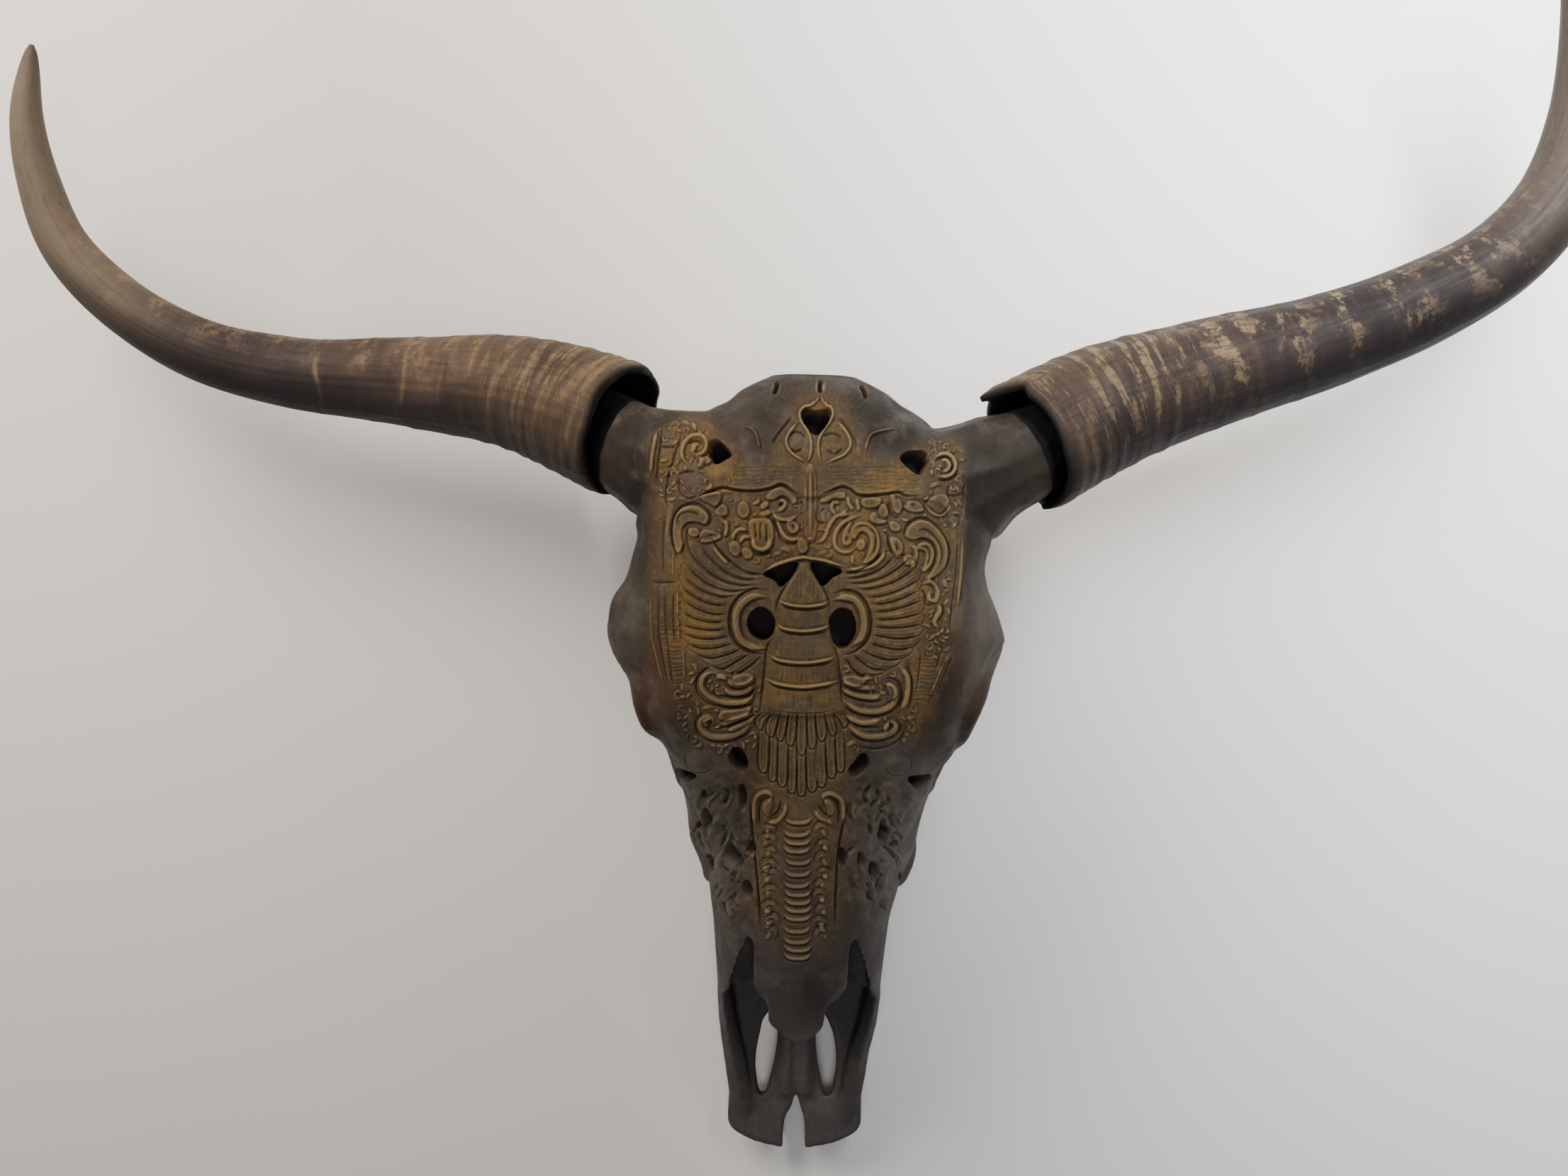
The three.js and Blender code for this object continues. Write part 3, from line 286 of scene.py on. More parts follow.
# Each motif: lines cut as ridges and as grooves, outlines of flat leaves, and buds and domes with their
# half-size and height. A motif may have its own size of ridge and groove.
MOTIFS = [
    {"name": "heart lips and the loops below them",
     "ridge": (1.35, 1.1),
     "ridges": [
         [(2.4, -19.0), (1.2, -14.5), (-2.6, -11.2), (-6.6, -10.0), (-8.9, -6.4), (-7.6, -1.4), (-4.2, 3.8),
          (-2.4, 9.0), (-2.4, 15.0), (-4.0, 20.0), (-6.5, 23.5)],
         [(2.8, -19.0), (4.0, -14.5), (6.6, -11.0), (9.2, -9.6), (10.0, -5.8), (7.9, -1.4), (4.2, 3.8),
          (1.9, 9.0), (1.8, 15.0), (3.0, 20.0), (4.5, 23.5)],
         [(-9.0, -2.7), (-13.8, 3.2), (-16.2, 7.6), (-15.6, 12.4), (-12.2, 16.6), (-7.2, 19.8),
          (-4.5, 22.0)],
         [(11.4, -3.4), (17.9, 4.6), (19.9, 11.2), (16.5, 16.5), (10.6, 19.3), (5.6, 22.0)],
         [(45.0, 1.9), (38.4, 2.9), (31.8, 5.2), (29.1, 10.5), (28.5, 15.8)],
         [(-40.0, 0.0), (-34.6, 3.2), (-32.4, 8.2), (-31.4, 14.2)],
     ],
     "grooves": [
         [(-12.5, -5.6), (-19.1, 2.6), (-23.1, 8.5), (-24.4, 11.5)],
         [(12.6, -6.6), (15.4, -2.4), (19.6, 3.2), (22.6, 8.5), (23.4, 14.0)],
         [(-14.5, 5.6), (-11.6, 3.6), (-7.4, 4.6), (-5.2, 7.5)],
         [(-13.8, 13.0), (-11.1, 14.8), (-7.2, 13.2)],
         [(4.6, 6.6), (7.3, 4.6), (11.9, 4.9), (15.6, 7.6)],
         [(6.9, 14.0), (11.2, 15.9), (15.6, 13.0)],
     ],
     "domes": [((-10.4, 9.0), 4.6, 0.9), ((9.4, 9.6), 4.8, 0.9)]},
    {"name": "notches on the poll",
     "groove": (1.7, 3.6),
     "grooves": [[(-21.4, -24.6), (-22.0, -21.4), (-23.4, -18.0)],
                 [(3.4, -25.4), (2.6, -22.4), (2.9, -18.8)],
                 [(25.8, -22.4), (27.8, -19.0), (28.6, -15.6)]]},
    {"name": "middle seam of the forehead",
     "ridge": (1.2, 0.7),
     "groove": (0.8, 1.1),
     "grooves": [[(-4.8, 26.0), (-4.3, 40.0), (-4.9, 52.0), (-4.3, 62.0)],
                 [(-0.8, 26.0), (-0.7, 40.0), (-0.3, 52.0), (-0.8, 62.0)]],
     "ridges": [[(-2.8, 24.0), (-2.6, 42.0), (-2.8, 64.0)]]},
    {"name": "wavy ledge",
     "groove": (1.3, 2.2),
     "grooves": [
         [(-65.5, 39.7), (-58.9, 37.1), (-52.3, 35.1), (-45.6, 36.4), (-37.7, 37.1), (-30.4, 36.7),
          (-25.1, 35.4), (-19.8, 33.4), (-15.8, 34.7), (-11.8, 37.7), (-8.6, 39.0)],
         [(4.0, 39.0), (9.9, 36.4), (15.2, 34.7), (19.9, 36.1), (23.8, 39.0), (29.1, 39.7), (37.1, 39.0),
          (42.4, 38.4), (47.0, 37.7), (51.7, 39.7), (58.3, 39.9)],
     ]},
    {"name": "boxes and curl at the left temple",
     "ridges": [
         [(-89.0, 2.6), (-90.7, 10.5), (-92.0, 18.5), (-92.7, 28.0)],
         [(-70.8, 23.1), (-74.1, 19.8), (-75.1, 15.2), (-73.5, 9.9), (-69.5, 6.1), (-64.2, 5.9),
          (-61.4, 9.2), (-61.6, 13.4), (-64.6, 16.3), (-69.0, 16.1), (-70.8, 13.4)],
         [(-66.0, 24.0), (-62.4, 19.0), (-60.4, 18.6)],
     ],
     "grooves": [
         [(-86.6, 3.2), (-87.6, 12.0), (-89.0, 22.0), (-90.0, 34.0)],
         [(-75.4, 3.6), (-76.6, 9.2), (-78.0, 12.5), (-79.6, 17.2), (-80.8, 21.8), (-82.8, 23.8),
          (-86.0, 23.8)],
         [(-86.7, 12.2), (-78.8, 12.2)],
         [(-71.6, 10.4), (-68.8, 8.8), (-65.6, 8.8), (-63.8, 11.0)],
         [(-77.0, 27.8), (-73.5, 26.2), (-68.2, 26.1)],
         [(-76.8, 29.0), (-77.4, 33.0), (-76.4, 38.0), (-72.1, 41.2), (-65.5, 39.7)],
         [(-82.1, 24.4), (-84.1, 34.4), (-84.7, 42.4), (-82.1, 48.0)],
     ],
     "buds": [((-69.5, 0.8), 2.6, 1.1), ((-60.6, 18.6), 3.0, 1.3), ((-64.4, 21.4), 2.8, 1.0),
              ((-66.8, 12.6), 3.0, 1.2)],
     "domes": [((-55.0, 28.2), (7.0, 6.0), 0.9), ((-70.6, 33.0), (5.6, 6.4), 0.6)]},
    {"name": "volute and leaves at the right temple",
     "ridges": [
         arc((72.6, 22.6), 6.4, -150, 130),
         arc((72.4, 22.8), 3.2, -120, 110),
     ],
     "grooves": [
         arc((72.6, 22.8), 8.2, 20, 120),
         arc((72.4, 22.8), 4.8, -160, 60),
         [(75.5, 35.6), (75.4, 43.8), (71.6, 49.8), (66.2, 47.6), (62.4, 43.6)],
         [(75.6, 33.0), (75.0, 38.4), (78.2, 39.8), (84.2, 39.0)],
         [(83.6, 27.0), (84.8, 33.0), (83.4, 37.0), (85.0, 42.4)],
     ],
     "buds": [((56.4, 45.8), (5.4, 3.6), 1.3), ((43.4, 44.6), (3.6, 5.2), 1.1)],
     "domes": [((70.6, 42.2), (5.2, 6.6), 0.9)]},
    {"name": "foliage left of the seam",
     "plates": [
         [(-77.6, 72.0), (-80.1, 62.0), (-79.6, 53.1), (-76.3, 47.7), (-71.4, 45.5), (-66.5, 46.0),
          (-62.1, 48.8), (-60.5, 52.0), (-62.2, 55.6), (-65.4, 54.6), (-71.4, 54.2), (-75.0, 57.0),
          (-76.0, 62.0), (-75.0, 68.0)],
         [(-64.3, 40.2), (-59.4, 38.6), (-53.6, 38.2), (-53.9, 42.2), (-56.1, 45.5), (-59.9, 43.8),
          (-63.8, 42.2)],
         [(-64.3, 59.7), (-59.9, 59.1), (-55.0, 61.3), (-52.8, 62.9), (-57.2, 65.1), (-61.6, 66.2),
          (-64.9, 65.1)],
         [(-71.4, 58.6), (-67.0, 58.0), (-65.4, 60.8), (-67.6, 62.9), (-70.9, 61.9)],
         [(-42.5, 43.8), (-39.2, 43.3), (-37.0, 47.7), (-38.7, 51.5), (-41.4, 52.0), (-43.6, 48.8)],
         [(-55.0, 46.6), (-51.8, 44.4), (-49.6, 47.1), (-50.1, 50.4), (-53.4, 50.9), (-56.1, 49.8)],
         [(-37.2, 54.4), (-32.1, 52.8), (-26.6, 52.8), (-24.1, 56.4), (-23.6, 62.9), (-25.0, 68.2),
          (-29.4, 70.9), (-34.3, 69.8), (-35.9, 65.7)],
         [(-41.4, 70.0), (-36.9, 70.0), (-35.4, 73.7), (-39.2, 75.3)],
         [(-27.7, 40.6), (-23.9, 36.8), (-19.0, 35.4), (-13.5, 38.6), (-10.3, 41.7), (-12.0, 44.4),
          (-14.6, 41.2), (-19.0, 39.4), (-24.6, 42.0)],
         [(-31.0, 45.5), (-27.7, 42.7), (-26.1, 44.4), (-29.4, 47.7)],
         [(-31.0, 49.8), (-26.6, 47.7), (-25.0, 49.3), (-28.8, 51.3)],
         [(-15.7, 54.6), (-11.0, 54.8), (-9.2, 58.2), (-12.4, 61.0), (-15.2, 59.2)],
         [(-10.0, 65.6), (-7.6, 63.4), (-4.6, 66.6), (-4.6, 70.6), (-8.4, 72.0)],
         [(-48.0, 66.4), (-44.0, 66.0), (-42.0, 70.4), (-44.6, 74.0), (-48.0, 71.0)],
     ],
     "ridges": [
         [(-34.8, 63.6), (-34.3, 68.0), (-30.5, 70.2), (-26.6, 68.5), (-25.2, 64.1)],
         [(-38.1, 59.1), (-42.5, 58.6), (-45.8, 61.3), (-46.8, 65.1)],
         [(-37.0, 63.1), (-40.3, 63.1), (-42.5, 66.1)],
         [(-21.4, 48.4), (-18.5, 46.8), (-16.8, 43.9), (-18.5, 42.3), (-20.8, 42.9)],
         [(-23.9, 48.8), (-22.3, 51.5), (-18.5, 53.1), (-13.5, 52.6), (-10.3, 50.9)],
         [(-22.3, 53.2), (-20.5, 56.4), (-18.7, 60.3), (-15.7, 63.6), (-11.9, 64.4), (-9.0, 62.6)],
         [(-50.6, 53.0), (-50.0, 58.0), (-51.0, 63.0)],
         [(-57.6, 68.2), (-53.6, 73.5), (-49.0, 78.4)],
     ],
     "grooves": [
         [(-76.0, 80.0), (-79.4, 71.0), (-81.6, 62.6), (-81.0, 52.8), (-77.4, 46.4), (-71.6, 43.9),
          (-66.0, 44.3), (-61.2, 47.4), (-58.9, 52.0), (-60.8, 56.6), (-65.0, 56.8)],
         [(-72.6, 57.0), (-73.2, 63.0), (-71.6, 70.0), (-68.4, 76.0)],
         [(-78.0, 57.4), (-77.6, 51.8), (-73.6, 49.0), (-68.6, 49.4), (-64.6, 51.8)],
         [(-60.6, 62.4), (-57.6, 62.0), (-54.6, 62.6)],
         [(-30.5, 54.2), (-31.0, 59.7), (-30.5, 65.1)],
         [(-27.7, 54.8), (-27.2, 61.3), (-27.7, 66.2)],
         [(-34.0, 55.2), (-33.7, 59.7), (-33.2, 64.1)],
         [(-26.4, 51.6), (-22.6, 55.0), (-20.9, 60.0), (-18.9, 65.0), (-13.6, 67.2), (-8.9, 65.4)],
         [(-34.6, 72.8), (-30.0, 73.2), (-25.0, 70.8)],
         [(-20.6, 44.8), (-18.4, 44.4)],
         [(-12.6, 56.4), (-12.0, 59.0)],
     ]},
    {"name": "foliage right of the seam",
     "plates": [
         [(2.6, 42.4), (8.0, 39.7), (14.6, 37.5), (17.2, 39.1), (16.0, 41.2), (10.8, 41.0), (5.3, 43.4)],
         [(26.8, 41.6), (34.6, 41.0), (37.4, 41.9), (35.4, 45.4), (30.0, 46.4), (26.9, 45.2)],
         [(36.2, 47.2), (38.4, 44.0), (40.4, 46.6), (41.0, 50.4), (38.4, 52.2), (36.0, 50.4)],
         [(31.5, 50.2), (34.6, 49.0), (35.6, 52.4), (40.6, 54.0), (36.4, 55.6), (31.9, 54.1)],
         [(20.6, 54.6), (17.4, 57.6), (15.4, 62.4), (15.8, 67.0), (19.0, 67.6), (20.6, 64.8), (18.6, 60.6)],
         [(20.1, 62.9), (20.6, 58.0), (23.9, 55.0), (29.3, 55.0), (34.2, 58.6), (36.2, 64.0), (35.9, 70.0),
          (32.6, 75.5), (27.2, 78.2), (29.0, 74.2), (30.8, 69.0), (31.0, 64.0), (29.3, 60.8), (26.1, 59.7),
          (23.9, 61.4), (22.4, 64.0)],
         [(51.2, 62.3), (53.4, 57.1), (58.3, 53.9), (63.7, 54.4), (69.2, 58.8), (73.3, 65.1), (74.4, 71.7),
          (72.8, 78.8), (68.4, 84.0), (62.6, 87.1), (66.3, 81.5), (68.7, 76.1), (69.1, 71.3), (67.6, 66.9),
          (63.9, 63.8), (59.4, 63.1), (55.5, 64.5)],
         [(57.9, 67.7), (62.1, 65.8), (65.8, 68.4), (66.9, 73.3), (64.7, 79.2), (60.4, 83.0), (62.2, 77.9),
          (63.1, 73.9), (61.7, 70.4), (58.6, 70.0)],
         [(42.4, 63.5), (46.8, 64.0), (49.3, 67.9), (48.4, 72.8), (45.7, 74.4), (43.5, 69.5)],
         [(42.4, 54.2), (46.8, 55.3), (48.4, 58.0), (46.3, 59.7), (43.0, 59.1)],
         [(51.9, 43.5), (55.0, 42.7), (58.8, 43.5), (61.3, 47.5), (58.3, 48.8), (53.9, 48.0)],
         [(63.4, 44.4), (67.0, 40.2), (73.0, 39.7), (75.5, 44.4), (74.4, 49.6), (69.7, 51.3), (64.9, 49.1)],
         [(50.4, 74.0), (54.0, 73.4), (55.2, 76.4), (52.6, 79.0), (50.2, 77.4)],
         [(44.0, 42.4), (47.6, 41.8), (49.2, 45.4), (47.0, 49.8), (44.4, 47.2)],
         [(24.0, 65.4), (27.0, 64.4), (28.2, 67.6), (26.0, 70.6), (23.6, 69.0)],
     ],
     "ridges": [
         [(14.4, 43.8), (10.8, 43.5), (9.3, 45.7), (9.9, 48.3), (12.2, 50.6)],
         [(21.4, 50.2), (16.2, 50.3), (12.2, 51.2), (9.6, 54.0), (7.5, 57.7), (6.1, 61.5), (4.0, 64.8),
          (0.0, 66.8)],
         [(27.0, 50.4), (20.6, 52.2), (15.1, 55.5), (11.9, 59.9), (10.8, 65.3), (12.4, 69.7), (16.2, 71.6),
          (20.6, 70.8), (23.2, 68.4)],
         [(18.6, 40.0), (18.9, 43.6), (21.5, 47.9)],
         [(23.4, 41.4), (24.0, 44.6), (24.8, 48.0)],
         [(53.3, 67.6), (56.2, 69.2), (57.0, 73.0), (56.0, 77.4), (53.6, 81.2)],
         [(18.0, 81.6), (25.0, 81.0), (32.6, 79.0), (37.6, 74.6), (39.4, 69.6)],
     ],
     "grooves": [
         [(0.6, 47.7), (1.0, 53.0), (3.3, 55.0), (5.6, 55.0)],
         [(22.4, 59.6), (24.6, 57.2), (29.0, 57.0), (32.8, 60.0), (34.2, 64.0), (33.6, 69.8), (30.8, 74.6)],
         [(38.4, 62.2), (41.0, 61.6), (41.4, 66.6), (44.0, 73.4)],
         [(49.6, 63.4), (51.8, 56.6), (57.8, 52.3), (64.5, 52.8), (70.7, 57.6), (75.0, 64.5), (76.1, 71.9),
          (74.3, 79.8), (69.6, 85.6)],
         [(57.0, 60.4), (61.4, 58.8), (66.0, 61.4), (70.0, 66.4), (71.6, 72.4), (70.0, 79.0)],
         [(60.0, 68.4), (63.4, 69.6), (64.4, 74.0), (62.8, 79.4)],
         [(54.4, 44.6), (56.4, 45.2)],
         [(45.4, 66.6), (46.6, 70.6)],
         [(41.6, 42.4), (42.0, 47.0), (44.4, 51.4), (48.4, 51.6)],
         [(17.6, 63.0), (17.8, 65.4)],
     ]},
    {"name": "brow",
     "ridge": (1.5, 1.7),
     "ridges": [[(-29.6, 83.4), (-21.6, 78.4), (-11.8, 75.4), (-6.3, 74.6), (-2.0, 75.2), (6.5, 76.6),
                 (16.6, 80.0)]]},
    {"name": "bands round the body",
     "ridge": (1.3, 1.3),
     "ridges": [
         [(-20.4, 98.9), (-14.3, 101.3), (-5.7, 102.2), (2.9, 101.3), (7.8, 99.5)],
         [(-21.6, 112.4), (-16.7, 114.8), (-6.9, 116.0), (2.9, 114.8), (7.8, 113.0)],
         [(-26.5, 129.5), (-19.2, 132.6), (-6.9, 133.8), (4.1, 132.6), (11.4, 130.7)],
         [(-27.8, 143.0), (-19.2, 146.0), (-6.9, 147.3), (4.1, 146.0), (12.6, 144.2)],
     ],
     "grooves": [
         [(-20.4, 100.9), (-14.3, 103.4), (-5.7, 104.3), (2.9, 103.4), (7.8, 101.4)],
         [(-21.6, 114.4), (-16.7, 117.0), (-6.9, 118.2), (2.9, 117.0), (7.8, 115.0)],
         [(-26.5, 131.6), (-19.2, 134.8), (-6.9, 136.0), (4.1, 134.8), (11.4, 132.8)],
         [(-27.8, 145.2), (-19.2, 148.2), (-6.9, 149.5), (4.1, 148.2), (12.6, 146.4)],
         [(-8.2, 78.5), (-14.0, 86.0), (-20.6, 98.0), (-22.6, 106.0)],
         [(-4.4, 78.5), (1.0, 86.0), (6.8, 96.0), (8.6, 104.0)],
         [(-23.0, 118.0), (-27.4, 126.0), (-28.4, 136.0), (-30.0, 150.0), (-31.4, 164.0)],
         [(9.0, 122.0), (12.6, 130.0), (14.2, 142.0), (15.4, 160.0)],
     ],
     "domes": [((-15.5, 123.0), (5.0, 4.0), 0.5), ((0.6, 122.4), (5.0, 4.0), 0.5)]},
    {"name": "eye rings",
     "ridge": (3.1, 1.5),
     "groove": (1.3, 1.5),
     "ridges": [
         [(-26.5, 97.0), (-33.9, 96.2), (-40.2, 99.6), (-44.2, 106.0), (-44.2, 115.0), (-41.0, 121.6),
          (-34.6, 125.0), (-27.6, 125.8)],
         [(10.2, 98.6), (16.3, 97.0), (22.6, 98.8), (26.6, 105.0), (27.6, 113.0), (25.6, 119.8),
          (20.4, 124.8)],
     ],
     "grooves": [
         [(-25.4, 93.8), (-34.4, 92.4), (-42.6, 96.4), (-47.8, 104.6), (-48.0, 115.8), (-43.8, 124.2),
          (-36.2, 128.2), (-27.6, 129.2)],
         [(10.0, 95.4), (16.6, 93.2), (24.6, 95.4), (30.2, 103.2), (31.6, 113.2), (29.0, 121.6),
          (22.4, 127.8), (15.8, 129.8)],
     ]},
    {"name": "curls beside the right wing",
     "ridges": [
         [(60.4, 89.7), (65.3, 88.5), (69.0, 93.4), (67.7, 98.9), (64.4, 98.1), (64.4, 94.8), (66.4, 94.4)],
         [(69.0, 100.7), (70.2, 104.4), (67.1, 110.5), (69.0, 115.0)],
     ],
     "grooves": [[(59.6, 92.0), (62.0, 96.0), (62.6, 101.0), (67.0, 101.8)],
                 [(71.6, 101.0), (72.4, 106.0), (69.6, 111.0)]]},
    {"name": "lower left scrolls",
     "ridge": (2.3, 1.25),
     "plates": [[(-46.3, 142.4), (-40.0, 140.4), (-35.0, 141.4), (-38.4, 145.0), (-44.4, 145.6)],
                [(-52.6, 161.4), (-45.0, 160.6), (-36.4, 158.6), (-38.4, 162.6), (-46.0, 165.0),
                 (-53.6, 165.6)]],
     "ridges": [
         [(-51.9, 147.7), (-47.2, 150.9), (-40.2, 150.3), (-34.3, 146.6)],
         [(-50.0, 143.4), (-45.0, 146.6), (-38.4, 145.6), (-34.0, 142.0)],
         [(-34.3, 150.0), (-37.0, 154.4), (-43.0, 156.4), (-52.0, 156.0), (-60.0, 152.6), (-63.8, 147.6),
          (-63.0, 142.0), (-58.8, 139.6), (-55.0, 140.6)],
         [(-34.3, 166.5), (-41.3, 172.6), (-49.5, 175.6), (-58.0, 175.4), (-63.2, 172.0), (-64.6, 167.6),
          (-62.0, 164.9), (-58.4, 165.2), (-57.2, 168.0), (-59.2, 169.8)],
         [(-53.1, 168.9), (-44.9, 165.5), (-35.5, 162.6)],
         [(-49.6, 172.4), (-41.4, 168.8), (-34.2, 164.6)],
     ],
     "grooves": [
         [(-33.4, 151.8), (-36.0, 157.4), (-43.0, 159.4), (-53.1, 159.0), (-62.5, 155.8), (-67.2, 149.4),
          (-66.2, 141.8), (-60.4, 137.0), (-54.2, 136.8)],
         [(-53.6, 152.6), (-46.0, 153.6), (-38.0, 152.6), (-34.0, 149.0)],
         [(-34.0, 170.0), (-41.6, 176.0), (-49.8, 178.8), (-59.4, 178.6), (-66.0, 174.6), (-67.8, 167.6),
          (-64.0, 162.6)],
         [(-56.6, 171.8), (-50.0, 170.2), (-42.6, 167.2), (-35.0, 163.6)],
     ],
     "buds": [((-60.4, 167.4), 2.4, 1.2), ((-53.4, 143.0), 3.0, 1.4), ((-42.0, 140.6), (3.6, 2.4), 1.1)]},
    {"name": "lower right scrolls",
     "ridge": (2.3, 1.25),
     "plates": [[(16.0, 142.4), (22.0, 141.4), (28.4, 144.0), (24.0, 146.6), (17.4, 145.4)]],
     "ridges": [
         [(15.0, 153.6), (19.0, 157.4), (25.5, 160.8), (34.6, 161.4), (42.0, 158.8), (45.4, 153.8),
          (45.2, 148.4), (42.4, 146.0), (38.5, 146.4)],
         [(15.0, 148.9), (23.2, 152.2), (32.6, 153.4), (37.3, 152.0)],
         [(16.0, 144.6), (24.0, 147.8), (32.0, 148.0)],
         [(18.5, 169.6), (26.7, 174.8), (36.1, 175.4), (43.2, 172.8), (45.2, 169.4), (43.4, 167.3),
          (40.2, 167.9)],
         [(17.3, 164.2), (26.7, 167.7), (37.0, 166.2)],
         [(47.8, 136.0), (52.0, 143.0), (51.4, 153.6), (48.0, 161.0)],
     ],
     "grooves": [
         [(14.6, 156.6), (18.5, 160.6), (25.5, 163.8), (34.9, 164.4), (43.6, 161.4), (48.4, 155.0),
          (48.2, 147.0), (43.6, 143.0), (38.0, 143.8)],
         [(15.0, 151.4), (23.2, 154.8), (32.6, 156.2), (39.0, 154.4)],
         [(18.0, 172.6), (26.4, 178.0), (36.4, 178.6), (45.2, 175.4), (48.2, 170.0), (45.2, 164.8)],
         [(18.0, 166.8), (26.7, 170.4), (36.6, 170.6)],
         [(24.4, 181.4), (34.9, 182.8), (46.4, 178.6), (51.6, 170.0)],
         [(50.0, 134.0), (54.6, 143.0), (54.2, 155.0), (50.6, 163.0)],
     ],
     "buds": [((41.6, 151.0), (4.4, 4.6), 1.4), ((40.6, 171.2), 2.6, 1.3),
              ((30.0, 143.6), (3.6, 2.6), 1.1)]},
    {"name": "plain ovals below the scrolls and the soft shapes under the body",
     "domes": [((-65.0, 188.0), (9.0, 6.5), 1.0), ((46.4, 190.7), (9.0, 5.0), 1.0),
               ((-52.0, 196.0), (6.0, 4.0), 0.7), ((-18.0, 156.0), (6.5, 4.4), 0.7),
               ((4.0, 156.0), (6.0, 4.4), 0.7), ((-7.0, 158.0), (4.6, 3.6), 0.6)],
     "groove": (0.7, 0.7),
     "grooves": [arc((-65.0, 188.0), 8.6, 20, 200), arc((46.4, 190.7), 7.6, -30, 170),
                 [(-25.0, 160.6), (-16.0, 162.0), (-7.0, 162.6), (4.0, 162.0), (11.0, 160.6)],
                 [(-12.6, 152.0), (-11.6, 157.0), (-12.4, 161.0)],
                 [(-1.6, 152.0), (-2.4, 157.0), (-1.8, 161.0)]]},
    {"name": "borders",
     "ridge": (1.0, 0.8),
     "groove": (0.8, 1.2),
     "ridges": [
         [(-80.4, 71.0), (-80.0, 86.0)],
         [(-77.6, 91.0), (-77.4, 106.0), (-76.8, 124.0)],
         [(-92.7, 92.0), (-92.4, 116.6), (-89.0, 132.6), (-84.7, 150.0)],
         [(-74.4, 126.0), (-73.6, 144.0)],
         [(87.3, 82.4), (83.7, 104.4)],
         [(76.3, 127.7), (70.6, 140.0), (65.3, 152.0)],
         [(84.7, 26.0), (84.9, 40.0), (83.2, 55.0)],
         [(83.4, 62.0), (82.0, 84.0), (80.0, 104.0)],
     ],
     "grooves": [
         [(-92.7, 88.6), (-86.0, 88.9), (-78.0, 88.5)],
         [(-84.6, 50.0), (-86.2, 66.0), (-85.8, 86.0)],
         [(-84.8, 91.0), (-84.6, 110.0), (-83.0, 128.0), (-80.0, 152.0)],
         [(-80.0, 92.0), (-80.2, 110.0), (-79.0, 126.0)],
         [(-88.2, 92.0), (-88.4, 116.0), (-85.8, 134.0), (-82.0, 152.0)],
         [(72.0, 123.0), (67.8, 140.0)],
         [(74.6, 131.0), (68.6, 146.0), (64.0, 158.0)],
         [(78.6, 128.0), (72.6, 142.0), (67.0, 156.0)],
         [(81.0, 60.0), (79.6, 84.0), (77.0, 104.0), (75.4, 120.0)],
         [(86.0, 58.0), (84.4, 82.0), (81.6, 104.0)],
         [(78.4, 50.0), (81.6, 52.0), (81.0, 57.0)],
         [(51.8, 132.6), (54.6, 144.8), (53.4, 158.0)],
         [(60.0, 128.0), (58.6, 140.0), (56.4, 154.0)],
     ]},
    {"name": "curled leaves at the top of the nose",
     "ridges": [
         [(-34.2, 226.0), (-34.4, 215.0), (-32.8, 209.4), (-28.2, 206.8), (-24.6, 208.6), (-26.0, 212.0)],
         [(-27.3, 224.8), (-21.2, 223.0), (-17.4, 218.4), (-16.4, 213.0)],
         [(15.8, 226.0), (15.8, 215.6), (14.0, 210.4), (8.5, 207.8), (4.6, 209.4), (6.4, 213.0)],
         [(-0.7, 217.4), (3.9, 222.2), (10.0, 224.8)],
     ],
     "grooves": [
         [(-31.6, 226.0), (-31.6, 216.0), (-30.0, 211.6), (-27.4, 210.4)],
         [(-24.6, 221.0), (-20.6, 217.4), (-19.6, 212.0)],
         [(13.0, 226.0), (13.0, 216.0), (11.4, 212.0), (8.6, 211.2)],
         [(1.4, 214.6), (5.0, 219.0), (10.0, 221.4)],
     ],
     "buds": [((-25.2, 216.6), (4.6, 4.8), 1.3), ((6.8, 216.6), (4.6, 4.8), 1.3)]},
]

